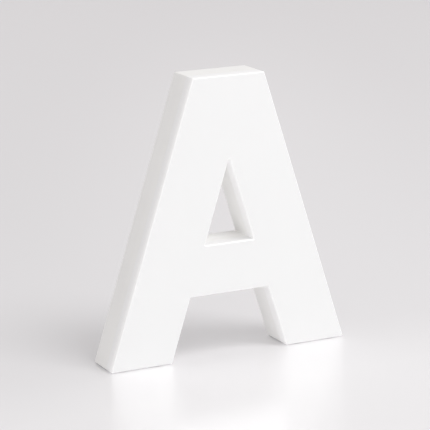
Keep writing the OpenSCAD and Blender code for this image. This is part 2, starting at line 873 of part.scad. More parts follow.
// A cell along +X with its negative end at 0, turned from its half outline
crimp = 0.8;
module cell() {
    rotate([0, 90, 0]) rotate_extrude() polygon([
        [0, 0], [cell_d / 2 - crimp, 0], [cell_d / 2, crimp],
        [cell_d / 2, cell_l - crimp], [cell_d / 2 - crimp, cell_l], [nub_d / 2, cell_l],
        [nub_d / 2, cell_l + nub_l], [0, cell_l + nub_l]
    ]);
}

// The places of the two cells: the upper one points to +X, the lower one to -X
module cell_place(side) {
    translate([0, y_cell, bar_mid + side * cell_pitch / 2]) mirror([side > 0 ? 0 : 1, 0, 0])
        translate([-cavity_l / 2 + contact_t, 0, 0]) children();
}

module battery_upper() color("darkslategray") cell_place(1) translate([spring_l, 0, 0]) cell();

module battery_lower() color("darkslategray") cell_place(-1) translate([spring_l, 0, 0]) cell();

module contact_bridge() color("lightgray") {
    block([-cavity_l / 2, y_cell - plate_half, bar_mid - cell_pitch / 2 - plate_half],
        [-cavity_l / 2 + contact_t, y_cell + plate_half, bar_mid + cell_pitch / 2 + plate_half]);
}

module end_contact(side) {
    z = bar_mid + side * cell_pitch / 2;
    block([cavity_l / 2 - contact_t, y_cell - plate_half, z - plate_half],
        [cavity_l / 2, y_cell + plate_half, z + plate_half]);
    block([cavity_l / 2 - contact_t, y_cell - contact_t / 2, z - tab_w / 2],
        [tab_end_x, y_cell + contact_t / 2, z + tab_w / 2]);
}

module contact_positive() color("lightgray") end_contact(1);

module contact_negative() color("lightgray") end_contact(-1);

module spring_upper() color("lightgray") cell_place(1) tube(spring_line, spring_wire, 6);

module spring_lower() color("lightgray") cell_place(-1) tube(spring_line, spring_wire, 6);

// Door

module battery_door() color("white") difference() {
    union() {
        slab(y_lid, y_back) door_outline(hinge_edge, 0);
        translate([hinge_x, hinge_y, bar_mid]) {
            bar_along_z(-barrel_half, barrel_half, 2 * hinge_r);
            bar_along_z(-barrel_half - pin_l, barrel_half + pin_l, pin_d);
        }
        translate([door_x - bead_r + bead_out, y_lid + bead_r, bar_mid])
            bar_along_z(-tongue_w / 2 + slit_w, tongue_w / 2 - slit_w, 2 * bead_r);
    }
    for (side = [-1, 1])
        block([door_x - tongue_l, y_lid - over, bar_mid + side * tongue_w / 2 - slit_w / 2],
            [door_x + over, y_back + over, bar_mid + side * tongue_w / 2 + slit_w / 2]);
    difference() {
        block([door_x - tongue_l + slit_w, y_back - scoop_depth, bar_mid - tongue_w / 2],
            [door_x + over, y_back + over, bar_mid + tongue_w / 2]);
        for (i = [1 : grip_ribs])
            translate([door_x - tongue_l + slit_w + i * (tongue_l - slit_w) / (grip_ribs + 1), 0, bar_mid])
                block([-grip_rib_t / 2, y_lid, -tongue_w / 2], [grip_rib_t / 2, y_back, tongue_w / 2]);
    }
}

// Control board and switch

module control_board() color("seagreen") difference() {
    block([board_x - board_w / 2, y_parts, bar_mid - board_h / 2],
        [board_x + board_w / 2, y_board, bar_mid + board_h / 2]);
    for (s = board_spots) at(s) rod(y_parts - over, y_board + over, small_d + 2 * pass_gap);
}

module control_board_screws() color("silver") {
    for (s = board_spots) small_screw(s, y_parts);
}

// A block of given width, height and length standing on the board's front
module on_board(place, size) {
    block([board_x + place[0] - size[0] / 2, y_parts - size[1], bar_mid + place[1] - size[2] / 2],
        [board_x + place[0] + size[0] / 2, y_parts, bar_mid + place[1] + size[2] / 2]);
}

module control_chip() color("black") on_board(chip_at, chip_size);

module boost_inductor() color("dimgray") on_board(inductor_at, inductor_size);

module smoothing_capacitor() color("midnightblue") {
    translate([board_x + capacitor_at[0], 0, bar_mid + capacitor_at[1]])
        rod(y_parts - capacitor_h, y_parts, capacitor_d);
}

module lead_connectors() color("ivory") {
    for (z = [battery_plug_z, led_plug_z])
        block([plug_x - connector_w / 2, y_parts - connector_h, z - connector_l / 2],
            [plug_x + connector_w / 2, y_parts, z + connector_l / 2]);
}

module switch_body() color("dimgray") {
    well_w = switch_w - 2 * switch_wall;
    well_l = switch_l - 2 * switch_wall;
    translate([board_x, y_board, bar_mid]) difference() {
        block([-switch_w / 2, 0, -switch_l / 2], [switch_w / 2, switch_h, switch_l / 2]);
        block([-well_w / 2, switch_h - well_depth, -well_l / 2], [well_w / 2, switch_h + over, well_l / 2]);
    }
}

module switch_knob() color("black") difference() {
    union() {
        low = y_board + switch_h - knob_gap - knob_flange_t;
        block([board_x - flange_w_knob / 2, low, knob_z - flange_l_knob / 2],
            [board_x + flange_w_knob / 2, low + knob_flange_t, knob_z + flange_l_knob / 2]);
        block([board_x - knob_w / 2, low, knob_z - knob_l / 2],
            [board_x + knob_w / 2, y_back - knob_sink, knob_z + knob_l / 2]);
    }
    for (dz = [-1, 0, 1])
        translate([board_x, y_back - knob_sink, knob_z + dz * knob_l / 4])
            block([-knob_w, -groove_deep, -groove_w / 2], [knob_w, over, groove_w / 2]);
}

// Leads

module battery_lead_red() color("red") tube(route(battery_route(1), 3), lead_d, 8);

module battery_lead_black() color("black") tube(route(battery_route(-1), 3), lead_d, 8);

module led_lead_red() color("red") tube(route(led_route(1), 3), lead_d, 8);

module led_lead_black() color("black") tube(route(led_route(-1), 3), lead_d, 8);

front_diffuser();
side_shell();
back_panel();
panel_screws();
foot_pads();
reflector_tray();
reflector_screws();
led_strip_left();
led_strip_right();
led_strip_bar();
leds_left();
leds_right();
leds_bar();
strip_resistors();
strip_links();
battery_box();
battery_box_screws();
battery_upper();
battery_lower();
contact_bridge();
contact_positive();
contact_negative();
spring_upper();
spring_lower();
battery_door();
control_board();
control_board_screws();
control_chip();
boost_inductor();
smoothing_capacitor();
lead_connectors();
switch_body();
switch_knob();
battery_lead_red();
battery_lead_black();
led_lead_red();
led_lead_black();
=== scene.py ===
import bmesh
import bpy
import numpy as np
from mathutils import Matrix, Vector
from mathutils.geometry import tessellate_polygon


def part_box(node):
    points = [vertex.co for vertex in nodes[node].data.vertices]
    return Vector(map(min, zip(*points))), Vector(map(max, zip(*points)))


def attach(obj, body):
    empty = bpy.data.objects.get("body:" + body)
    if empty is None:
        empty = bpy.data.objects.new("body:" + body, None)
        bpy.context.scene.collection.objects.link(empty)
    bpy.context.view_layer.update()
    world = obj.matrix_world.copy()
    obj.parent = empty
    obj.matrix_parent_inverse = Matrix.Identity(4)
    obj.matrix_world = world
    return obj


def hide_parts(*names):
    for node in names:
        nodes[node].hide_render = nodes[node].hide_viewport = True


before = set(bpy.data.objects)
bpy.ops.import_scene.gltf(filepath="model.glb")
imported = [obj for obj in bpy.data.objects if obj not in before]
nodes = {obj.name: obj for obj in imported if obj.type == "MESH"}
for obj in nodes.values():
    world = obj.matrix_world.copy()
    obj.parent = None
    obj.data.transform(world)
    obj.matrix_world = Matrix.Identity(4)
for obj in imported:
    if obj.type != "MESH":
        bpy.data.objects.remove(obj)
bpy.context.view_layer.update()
mm = 0.001
fullTurn = 2 * np.pi
alongX, alongY, alongZ = np.eye(3)


# Shape tools: points are in millimetres, X across, Y from the lit face to the back, Z up

# a node's lowest and highest corners, and the middle between them
def boxOf(node):
    return [np.array(corner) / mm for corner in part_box(node)]


def middleOf(node):
    return np.mean(boxOf(node), axis=0)


def newForm():
    return {"points": np.zeros((0, 3)), "faces": []}


# a grid of points becomes a sheet of quads, and its columns run round into a loop
def addGrid(form, grid):
    rows, columns = grid.shape[:2]
    ids = len(form["points"]) + np.arange(rows * columns).reshape(rows, columns)
    beside = np.roll(ids, -1, axis=1)
    quads = np.stack([ids[:-1], beside[:-1], beside[1:], ids[1:]], axis=-1)
    form["points"] = np.concatenate([form["points"], grid.reshape(-1, 3)])
    form["faces"] += quads.reshape(-1, 4).tolist()
    return ids


# a flat face inside the first ring of points and outside the other rings
def addFill(form, rings):
    order = np.concatenate(rings)
    outlines = [list(map(Vector, form["points"][ring].tolist())) for ring in rings]
    form["faces"] += order[np.array(tessellate_polygon(outlines))].tolist()


# walls between two flat faces: the first grid goes round the outside, the others round holes
def addWalls(form, *grids):
    rings = [addGrid(form, grid) for grid in grids]
    for end in (0, -1):
        addFill(form, [ring[end] for ring in rings])


# forms of closed grids, and of walls between two flat faces
def formOf(*grids):
    form = newForm()
    for grid in grids:
        addGrid(form, grid)
    return form


def walledForm(*grids):
    form = newForm()
    addWalls(form, *grids)
    return form


def unit(vectors):
    return vectors / np.linalg.norm(vectors, axis=-1, keepdims=True)


# every edge of a closed outline moves to its right, and neighbours meet again on their bisector
def insetLoop(corners, by):
    ahead = unit(np.roll(corners, -1, axis=0) - corners)
    right = np.column_stack([ahead[:, 1], -ahead[:, 0]])
    before = np.roll(right, 1, axis=0)
    return corners + by * (before + right) / (1 + np.sum(before * right, axis=1, keepdims=True))


# arcs at corners: the arm from each arc's centre turns from one tangent point to the other
def cornerArcs(corner, reach, leave, bend, steps):
    turn = np.arctan2(reach[:, 0] * leave[:, 1] - reach[:, 1] * leave[:, 0], np.sum(reach * leave, axis=1))
    start = corner - reach * (bend * np.tan(np.abs(turn) / 2))[:, None]
    left = np.column_stack([-reach[:, 1], reach[:, 0]])
    arm = -left * (np.sign(turn) * bend)[:, None]
    angle = turn[:, None] * np.linspace(0, 1, steps + 1)
    cos, sin = np.cos(angle), np.sin(angle)
    across = start[:, :1] - arm[:, :1] + arm[:, :1] * cos - arm[:, 1:] * sin
    along = start[:, 1:] - arm[:, 1:] + arm[:, :1] * sin + arm[:, 1:] * cos
    return np.stack([across, along], axis=-1)


# a closed outline moved to its right, with arcs that stay concentric: inner bends grow, outer ones shrink
def roundedLoop(corners, by, radius, steps=6, least=0.12):
    corner = insetLoop(corners, by)
    leave = unit(np.roll(corner, -1, axis=0) - corner)
    reach = np.roll(leave, 1, axis=0)
    side = np.sign(reach[:, 0] * leave[:, 1] - reach[:, 1] * leave[:, 0])
    bend = np.maximum(radius + side * by, least)
    return cornerArcs(corner, reach, leave, bend, steps).reshape(-1, 2)


# an open profile with an arc at every inner point, and a point just outside each arc to hold the flats flat
def softProfile(points, radii, steps=4, hold=0.25):
    points = np.array(points, float)
    ahead = unit(points[1:] - points[:-1])
    corner, reach, leave = points[1:-1], ahead[:-1], ahead[1:]
    arcs = cornerArcs(corner, reach, leave, np.array(radii, float), steps)
    before = arcs[:, :1] - hold * reach[:, None]
    after = arcs[:, -1:] + hold * leave[:, None]
    middle = np.concatenate([before, arcs, after], axis=1).reshape(-1, 2)
    return np.concatenate([points[:1], middle, points[-1:]])


# a plate's edge: a little of one face, the wall, and a little of the other face
def plateEdge(first, second, flat, radii, steps, hold):
    return softProfile([(flat, first), (0, first), (0, second), (flat, second)], radii, steps, hold)


# a disc's edge: from the middle of one face to the middle of the other
def discEdge(radius, low, high, radii, steps, hold):
    return softProfile([(0, low), (radius, low), (radius, high), (0, high)], radii, steps, hold)


# each profile row is a distance into the wall and a depth: the loop at that distance lies at that depth
def carryProfile(loopAt, profile):
    loops = np.array([loopAt(distance) for distance in profile[:, 0]])
    depth = np.broadcast_to(profile[:, 1][:, None], loops.shape[:2])
    return np.stack([loops[..., 0], depth, loops[..., 1]], axis=-1)


# the cosines and sines of a circle's points, as columns
def circle(sides):
    angle = np.arange(sides) * fullTurn / sides
    return np.cos(angle)[:, None], np.sin(angle)[:, None]


# each profile row is a radius and a distance along an axis: its circle is laid round that axis
def revolve(profile, centre, axis, sides=32):
    profile = np.array(profile, float)
    across = np.roll(axis, 1)
    third = np.cross(axis, across)
    cos, sin = circle(sides)
    spoke = cos * across + sin * third
    return centre + profile[:, :1, None] * spoke + profile[:, 1:, None] * axis


# a smooth curve through chosen points: each span is a cubic that leaves along the chord of its neighbours
def smoothPath(points, steps):
    points = np.array(points, float)
    before = np.concatenate([points[:1], points[:-2]])
    here, there = points[:-1], points[1:]
    after = np.concatenate([points[2:], points[-1:]])
    t = (np.arange(steps) / steps)[None, :, None]
    a, b, c, d = (corner[:, None] for corner in (before, here, there, after))
    curve = 0.5 * (2 * b + (c - a) * t + (2 * a - 5 * b + 4 * c - d) * t ** 2
                   + (3 * b - a - 3 * c + d) * t ** 3)
    return np.concatenate([curve.reshape(-1, 3), points[-1:]])


# a round tube: each ring stands square to the path, and its start direction is carried on without twist
def tubeAlong(path, radius, sides=12):
    heading = unit(np.gradient(path, axis=0))
    start = alongZ if abs(heading[0, 2]) < 0.7 else alongX  # whichever lies well across the path
    across = np.zeros_like(path)
    for ring in range(len(path)):
        start = unit(start - np.dot(start, heading[ring]) * heading[ring])
        across[ring] = start
    third = np.cross(heading, across)
    cos, sin = circle(sides)
    spoke = cos * across[:, None] + sin * third[:, None]
    return path[:, None] + radius * spoke


def addObject(name, data):
    thing = bpy.data.objects.new(name, data)
    bpy.context.scene.collection.objects.link(thing)
    return thing


def meshOf(name, form):
    mesh = bpy.data.meshes.new(name)
    mesh.from_pydata((form["points"] * mm).tolist(), [], form["faces"])
    return mesh


# points that lie together become one; a new surface also loses its slivers and is turned outwards
def mendMesh(mesh, apart, isNew):
    shape = bmesh.new()
    shape.from_mesh(mesh)
    bmesh.ops.remove_doubles(shape, verts=shape.verts, dist=apart)
    if isNew:
        bmesh.ops.dissolve_degenerate(shape, edges=shape.edges, dist=apart / 10)
        bmesh.ops.recalc_face_normals(shape, faces=shape.faces)
    shape.to_mesh(mesh)
    shape.free()


def finishObject(piece, finish, body, replaced, crease):
    mesh = piece.data
    mesh.materials.clear()
    mesh.materials.append(finish)
    mesh.shade_smooth()
    mesh.set_sharp_from_angle(angle=np.radians(crease))
    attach(piece, body)
    if replaced:
        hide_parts(replaced)


def makePiece(name, form, finish, replaced=None, body="letter_body", crease=35):
    mesh = meshOf(name, form)
    mendMesh(mesh, apart=1e-6, isNew=True)
    finishObject(addObject(name, mesh), finish, body, replaced, crease)


softEdges = {"segments": 2, "leastAngle": 28}


# a CAD node whose shape is right, copied, merged and given soft edges
def softenNode(node, name, edge, finish, body="letter_body"):
    mesh = nodes[node].data.copy()
    mesh.name = name
    mendMesh(mesh, apart=2e-6, isNew=False)
    piece = addObject(name, mesh)
    finishObject(piece, finish, body, node, crease=180)
    bevel = piece.modifiers.new("softEdges", "BEVEL")
    bevel.width = edge * mm
    bevel.segments = softEdges["segments"]
    bevel.limit_method = "ANGLE"
    bevel.angle_limit = np.radians(softEdges["leastAngle"])
    bevel.use_clamp_overlap = False
    bevel.harden_normals = True


# Finishes: every pattern reads Object coordinates, in metres

noiseSpan = (0.3, 0.7)  # nearly all of a noise lies between these
softStep = 0.00003  # half the width of a printed edge
mouldLook = {"cloudsPerMetre": 25, "glossPerMetre": 160, "glossSpread": 0.05, "grainDetail": 3}
metalLook = {"streaks": (0.25, 0.75), "dark": 0.86, "glossSpread": (-0.07, 0.09), "depth": 0.000008}


def newFinish(name):
    finish = bpy.data.materials.new(name)
    finish.use_nodes = True
    tree = finish.node_tree
    return finish, tree, tree.nodes["Principled BSDF"]


# a socket gets another node's output, or a plain number, vector or colour
def feed(tree, socket, value):
    if isinstance(value, bpy.types.NodeSocket):
        tree.links.new(value, socket)
    elif np.isscalar(value):
        socket.default_value = value
    else:
        socket.default_value = [*value, 1][:len(socket.default_value)]


def feedAll(tree, node, values):
    for socket, value in values.items():
        feed(tree, node.inputs[socket], value)


# a new shader node with its settings, and its inputs fed by name or number
def addNode(tree, kind, values, **settings):
    node = tree.nodes.new("ShaderNode" + kind)
    for setting, value in settings.items():
        setattr(node, setting, value)
    feedAll(tree, node, values)
    return node


# Object coordinates, scaled, or in the frame of a pattern that is moved, turned and scaled
def objectPlace(tree, stretch=(1, 1, 1)):
    place = addNode(tree, "TexCoord", {}).outputs["Object"]
    return addNode(tree, "Mapping", {"Vector": place, "Scale": stretch}).outputs["Vector"]


def patternPlace(tree, middle, turn, size=(1, 1, 1)):
    place = addNode(tree, "TexCoord", {}).outputs["Object"]
    pattern = {"Vector": place, "Location": middle, "Rotation": turn, "Scale": size}
    return addNode(tree, "Mapping", pattern, vector_type="TEXTURE").outputs["Vector"]


def noiseOf(tree, perMetre, detail=2.0, stretch=(1, 1, 1)):
    place = objectPlace(tree, stretch)
    return addNode(tree, "TexNoise", {"Vector": place, "Scale": perMetre, "Detail": detail}).outputs["Fac"]


def poresOf(tree, place, perMetre, distance="EUCLIDEAN"):
    return addNode(tree, "TexVoronoi", {"Vector": place, "Scale": perMetre}, distance=distance).outputs


def rampOf(tree, value, stops):
    ramp = addNode(tree, "ValToRGB", {"Fac": value})
    elements = ramp.color_ramp.elements
    while len(elements) < len(stops):
        elements.new(0.5)
    for element, (position, colour) in zip(elements, stops):
        element.position = position
        element.color = (*colour, 1)
    return ramp.outputs["Color"]


def mixColours(tree, share, first, second):
    return addNode(tree, "Mix", {0: share, 6: first, 7: second}, data_type="RGBA").outputs[2]


# how far a value has come from one limit to the other, given between two levels
def shareOf(tree, value, start, end, low=0.0, high=1.0, **settings):
    limits = {"Value": value, "From Min": start, "From Max": end, "To Min": low, "To Max": high}
    return addNode(tree, "MapRange", limits, **settings).outputs["Result"]


# 1 below a limit, above one or between two, and 0 elsewhere, with a soft step at each
def belowOf(tree, value, limit):
    return shareOf(tree, value, limit + softStep, limit - softStep)


def aboveOf(tree, value, limit):
    return shareOf(tree, value, limit - softStep, limit + softStep)


def bandOf(tree, value, band):
    low, high = np.array(band) * mm
    return mathOf(tree, "MULTIPLY", aboveOf(tree, value, low), belowOf(tree, value, high))


def mathOf(tree, operation, *values):
    return addNode(tree, "Math", dict(enumerate(values)), operation=operation).outputs[0]


def vectorOf(tree, operation, values):
    return addNode(tree, "VectorMath", values, operation=operation).outputs


def partsOf(tree, vector):
    return tuple(addNode(tree, "SeparateXYZ", {"Vector": vector}).outputs)


def bumpOf(tree, height, depth):
    return addNode(tree, "Bump", {"Height": height, "Distance": depth}).outputs["Normal"]


# colour that wanders to both sides by a share of itself, and roughness that wanders between two levels
def cloudOf(tree, colour, perMetre, share):
    low, high = np.array(colour) * (1 - share), np.array(colour) * (1 + share)
    return rampOf(tree, noiseOf(tree, perMetre), list(zip(noiseSpan, (low, high))))


def roughOf(tree, perMetre, low, high):
    return shareOf(tree, noiseOf(tree, perMetre), *noiseSpan, low, high)


# one colour before an edge across X and another after it
def twoTone(tree, edge, soft, first, second):
    x = partsOf(tree, objectPlace(tree))[0]
    return mixColours(tree, shareOf(tree, x, (edge - soft) * mm, (edge + soft) * mm), first, second)


# moulded plastic: faint cloudy colour, uneven gloss, and the fine spark-eroded grain of the mould
# a look is its colour, gloss, grains per metre, their depth, and how far the colour wanders
def mouldedPlastic(name, colour, gloss=0.45, grain=1500, grainDepth=0.00002, cloud=0.015):
    finish, tree, shader = newFinish(name)
    spread = mouldLook["glossSpread"]
    feedAll(tree, shader, {
        "Base Color": cloudOf(tree, colour, mouldLook["cloudsPerMetre"], cloud),
        "Roughness": roughOf(tree, mouldLook["glossPerMetre"], gloss - spread, gloss + spread),
        "Normal": bumpOf(tree, noiseOf(tree, grain, mouldLook["grainDetail"]), grainDepth)})
    return finish


# sheet metal and wire: fine lines drawn out along one direction
# a look is its colour, gloss, how far the lines are drawn out, and lines per metre
def drawnMetal(name, colour, gloss=0.28, stretch=(0.04, 1, 1), lines=2600):
    finish, tree, shader = newFinish(name)
    streak = noiseOf(tree, lines, stretch=stretch)
    shades = (np.array(colour) * metalLook["dark"], colour)
    feedAll(tree, shader, {
        "Base Color": rampOf(tree, streak, list(zip(metalLook["streaks"], shades))),
        "Metallic": 1.0,
        "Roughness": shareOf(tree, streak, *noiseSpan, *(gloss + np.array(metalLook["glossSpread"]))),
        "Normal": bumpOf(tree, streak, metalLook["depth"])})
    return finish


# Letter: its outlines, clockwise seen from the front, so the letter lies right of every outer edge

letter = {
    "height": 240.0,
    "baseWidth": 221.0,
    "topWidth": 66.0,
    "legWidth": 56.0,
    "barUnderside": 55.0,
    "barHeight": 43.0,
    "counterHeight": 171.0,
    "cornerRadius": 0.9,
}
shellLow, shellHigh = boxOf("side_shell")
capLow, capHigh = boxOf("front_diffuser")
padLow, padHigh = boxOf("foot_pads")
footZ = padHigh[2]
topZ = footZ + letter["height"]
barLow = footZ + letter["barUnderside"]
barHigh = barLow + letter["barHeight"]
barMiddle = (barLow + barHigh) / 2
apexZ = footZ + letter["counterHeight"]
halfBase, halfTop = letter["baseWidth"] / 2, letter["topWidth"] / 2
halfFootGap = halfBase - letter["legWidth"]
legMiddle = halfBase - letter["legWidth"] / 2
sideLean = (halfBase - halfTop) / letter["height"]


def halfGapAt(z):
    return halfFootGap * (1 - (z - footZ) / letter["counterHeight"])


def outsideAt(z):
    return halfBase - sideLean * (z - footZ)


outerCorners = np.array([
    [-halfBase, footZ], [-halfTop, topZ], [halfTop, topZ], [halfBase, footZ],
    [halfFootGap, footZ], [halfGapAt(barLow), barLow], [-halfGapAt(barLow), barLow], [-halfFootGap, footZ]])
counterCorners = np.array([[-halfGapAt(barHigh), barHigh], [0, apexZ], [halfGapAt(barHigh), barHigh]])


# the letter's outer loop and its counter's loop, both moved into the letter by a distance
def outerLoop(by):
    return roundedLoop(outerCorners, by, letter["cornerRadius"])


def counterLoop(by):
    return roundedLoop(counterCorners, -by, letter["cornerRadius"])


# walls round the letter and its counter, from a profile that starts at an inset
def letterWalls(profile, inset=0):
    return [carryProfile(loop, profile + (inset, 0)) for loop in (outerLoop, counterLoop)]


# the direction along an outline's edge, the one into the letter, and a spot along it moved that way
def edgeSpot(corners, first, second, share, by):
    start, end = corners[first], corners[second]
    ahead = unit(end - start)
    inward = np.array((ahead[1], -ahead[0]))
    return ahead, inward, start + share * (end - start) + by * inward


# a round post along Y with a blind hole in one end
def addPost(form, spot, closedEnd, openEnd, radius, holeRadius, holeDepth):
    bottom = openEnd - np.sign(openEnd - closedEnd) * holeDepth
    rounds = [0.2, 0.2, 0.15, 0.2]  # both ends, then the hole's mouth and bottom
    profile = softProfile(
        [(0, closedEnd), (radius, closedEnd), (radius, openEnd), (holeRadius, openEnd),
         (holeRadius, bottom), (0, bottom)], rounds, steps=3, hold=0.05)
    addGrid(form, revolve(profile, np.array((spot[0], 0, spot[1])), alongY, sides=28))


# a flat-sided slab with soft edges: its outline in X and Z is carried from one depth to another; a well is
# a grid that starts in the front face and ends in a flat floor
def addSlab(form, corners, front, back, edge=0.2, wells=()):
    profile = plateEdge(front, back, 2 * edge, [edge, edge], steps=3, hold=0.02)
    ids = addGrid(form, carryProfile(
        lambda by: roundedLoop(corners, by, edge, steps=3, least=0.02), profile))
    wellIds = [addGrid(form, well) for well in wells]
    for well in wellIds:
        addFill(form, [well[-1]])
    addFill(form, [ids[0]] + [well[0] for well in wellIds])
    addFill(form, [ids[-1]])


def rectangle(middle, width, height):
    return np.array(middle) + np.array([[-1, -1], [-1, 1], [1, 1], [1, -1]]) * (width / 2, height / 2)


def addBlock(form, low, high, edge=0.2, wells=()):
    low, high = np.array(low, float), np.array(high, float)
    outline = rectangle(((low + high) / 2)[[0, 2]], *(high - low)[[0, 2]])
    addSlab(form, outline, low[1], high[1], edge, wells)


# Glow: the lit face glows evenly with the lamp's own light. Along the walls of the cap and the white shell,
# the emission is painted light and shade: ramps by depth behind the face, set for each way a wall faces.
# There is a painted highlight along the front edges, painted light under the feet and on the sill, and
# painted shade in the creases beside the sill

glowAndPaintedLight = {
    "face": 0.134,
    "tint": (0.95, 1.01, 1.01),
    # painted highlight: brighter emission just behind the face, along the front edges
    "edge": ((0.04, 0.20), (0.3, 0.28)),
    "outer": ((1, 0.235), (2.5, 0.175), (5, 0.13), (8, 0.10), (12, 0.08), (20, 0.068), (35, 0.063)),
    "inner": ((1, 0.24), (5, 0.195), (9, 0.16), (14, 0.125), (22, 0.095), (35, 0.07)),
    "upward": ((1, 0.14), (5, 0.095), (12, 0.06), (35, 0.05)),
    # painted light on the sill of the counter, brightest partway back
    "sill": ((2, 0.075), (5, 0.05), (8, 0.045), (12, 0.07), (17, 0.125), (22, 0.17), (27, 0.165),
             (32, 0.145), (35, 0.125)),
    # painted light on what faces down, lighting the gap over the floor
    "downward": ((1, 0.34), (8, 0.28), (12, 0.1), (35, 0.06)),
    "outerReach": 5.0,
    "innerReach": 40.0,
    "sillReach": 50.0,
    "facing": (0.5, 0.9),
    # painted shade: the emission fades out near the back ends of the creases
    "crease": (5.0, 21.0),
}


# depth picks the level in five ramps: outer walls, walls inside the outline, what faces up, the sill of the
# counter, and what faces down; behind the face, each ramp is painted light that stands in for how light
# falls on and between the walls
def paintGlowAndShade(finish):
    tree = finish.node_tree
    front, back = capLow[1], shellHigh[1]
    x, y, z = partsOf(tree, objectPlace(tree))
    depth = shareOf(tree, y, front * mm, back * mm)
    level = {}
    for wall in ("outer", "inner", "upward", "sill", "downward"):
        stops = [(0, glowAndPaintedLight["face"] * np.array(glowAndPaintedLight["tint"]))]
        for step, strength in glowAndPaintedLight["edge"] + glowAndPaintedLight[wall]:
            stops.append((step / (back - front), strength * np.ones(3)))
        level[wall] = rampOf(tree, depth, stops)
    # X plus the lean of the sides times Z is the same all along an outer side
    aside = mathOf(tree, "ABSOLUTE", x)
    reach = mathOf(tree, "MULTIPLY_ADD", z, sideLean, aside)
    outer, inner, sill = ((halfBase - glowAndPaintedLight[wall + "Reach"]) * mm for wall in ("outer", "inner", "sill"))
    shade = mixColours(tree, shareOf(tree, reach, outer, inner), level["outer"], level["inner"])
    upward = mixColours(tree, shareOf(tree, reach, inner, sill), level["upward"], level["sill"])
    up = partsOf(tree, addNode(tree, "NewGeometry", {}).outputs["Normal"])[2]
    start, end = glowAndPaintedLight["facing"]
    shade = mixColours(tree, shareOf(tree, up, start, end), shade, upward)
    shade = mixColours(tree, shareOf(tree, up, -start, -end), shade, level["downward"])
    # painted shade: the back ends of the creases beside the sill are dimmed
    beside = addNode(tree, "CombineXYZ", {"X": aside, "Y": y, "Z": z}).outputs["Vector"]
    crease = np.array((halfGapAt(barHigh), back, barHigh)) * mm
    away = vectorOf(tree, "DISTANCE", {0: beside, 1: crease})["Value"]
    near, far = glowAndPaintedLight["crease"]
    lit = shareOf(tree, away, near * mm, far * mm)
    feedAll(tree, tree.nodes["Principled BSDF"], {
        "Emission Color": vectorOf(tree, "SCALE", {"Vector": shade, "Scale": lit})["Vector"],
        "Emission Strength": 1.0})


# Opal cap: face and rim in one moulding, with snap nubs inside the rim

opalCap = {
    "faceThickness": 2.5,
    "rimThickness": 2.0,
    "edgeRadius": 1.1,
    "innerRadius": 0.8,
    "rimEdgeRadius": 0.1,
    "faceFlat": 1.0,
    "colour": (0.82, 0.82, 0.82),
    "cloud": (14, 0.005),
    "rough": (220, 0.33, 0.41),
    "grainPerMetre": 900,
    "grainDepth": 0.000012,
    "nubLength": 8.0,
    "nubThickness": 1.2,
    "nubReach": 0.75,
    "nubDepth": capHigh[1] - 1.9,
    "nubPlaces": [(outerCorners, 0, 1, share) for share in (0.2, 0.5, 0.8)]
    + [(outerCorners, 2, 3, share) for share in (0.2, 0.5, 0.8)]
    + [(outerCorners, first, first + 1, 0.5) for first in (1, 4, 5, 6)]
    + [(counterCorners, 1, 0, 0.6), (counterCorners, 2, 1, 0.4), (counterCorners, 0, 2, 0.5)],
}


# lit opal acrylic: cloudy by a hair, with the fine grain of a cast sheet; its face glows, and its rim walls
# get painted light and shade
def opalFinish():
    finish, tree, shader = newFinish("opalAcrylic")
    feedAll(tree, shader, {
        "Base Color": cloudOf(tree, opalCap["colour"], *opalCap["cloud"]),
        "Roughness": roughOf(tree, *opalCap["rough"]),
        "Normal": bumpOf(tree, noiseOf(tree, opalCap["grainPerMetre"]), opalCap["grainDepth"])})
    paintGlowAndShade(finish)
    return finish


# a snap nub is an ellipse carried along its edge, shrinking to nothing at both ends, half sunk in the rim
def addNub(form, *place):
    cap = opalCap
    ahead, inward, spot = edgeSpot(*place, cap["rimThickness"])
    along = np.linspace(-1, 1, 17)[:, None]
    swell = (1 - along ** 6) ** 0.5
    cos, sin = circle(16)
    reach = swell * cap["nubReach"] * cos.T
    depth = cap["nubDepth"] + swell * cap["nubThickness"] / 2 * sin.T
    flat = spot + along[..., None] * cap["nubLength"] / 2 * ahead + reach[..., None] * inward
    addGrid(form, np.stack([flat[..., 0], depth, flat[..., 1]], axis=-1))


def buildOpalCap():
    cap = opalCap
    front, back = capLow[1], capHigh[1]
    face, rim = front + cap["faceThickness"], cap["rimThickness"]
    flat = cap["edgeRadius"] + cap["faceFlat"]
    profile = softProfile(
        [(flat, front), (0, front), (0, back), (rim, back), (rim, face), (rim + flat, face)],
        [cap["edgeRadius"], cap["rimEdgeRadius"], cap["rimEdgeRadius"], cap["innerRadius"]], steps=6)
    form = walledForm(*letterWalls(profile))
    for place in cap["nubPlaces"]:
        addNub(form, *place)
    makePiece("opalCap", form, opalFinish(), "front_diffuser")


buildOpalCap()
print("opal cap made")


# Return shell: the white side walls, with the lip that the cap snaps on

returnShell = {
    "wall": 2.4,
    "lipFront": shellLow[1],
    "lipOutside": 2.15,
    "lipInside": 3.35,
    "lipRadius": 0.2,
    "seam": 0.1,
    "shoulder": 3.0,
    "backRadius": 0.7,
    "innerBackRadius": 0.25,
    "seamRadius": 0.08,
    "colour": (0.82, 0.816, 0.803),
    "bossRadius": 4.0,
    "bossInset": 5.8,
    "bossLength": 11.0,
    "bossPlaces": [(outerCorners, 0, 1, share) for share in (0.08, 0.52, 0.93)]
    + [(outerCorners, 2, 3, share) for share in (0.07, 0.48, 0.92)]
    + [(outerCorners, 4, 5, 0.45), (outerCorners, 6, 7, 0.55)]
    + [(counterCorners, 1, 0, 0.55), (counterCorners, 2, 1, 0.45)],
    "pilotRadius": 1.55,
    "pilotDepth": 8.0,
    "panelFront": 15.0,
    "ribThickness": 2.0,
    "ribFront": 1.2,
    "ribBelowApex": 25.0,
}
bossSpots = [edgeSpot(*place, returnShell["bossInset"])[2] for place in returnShell["bossPlaces"]]


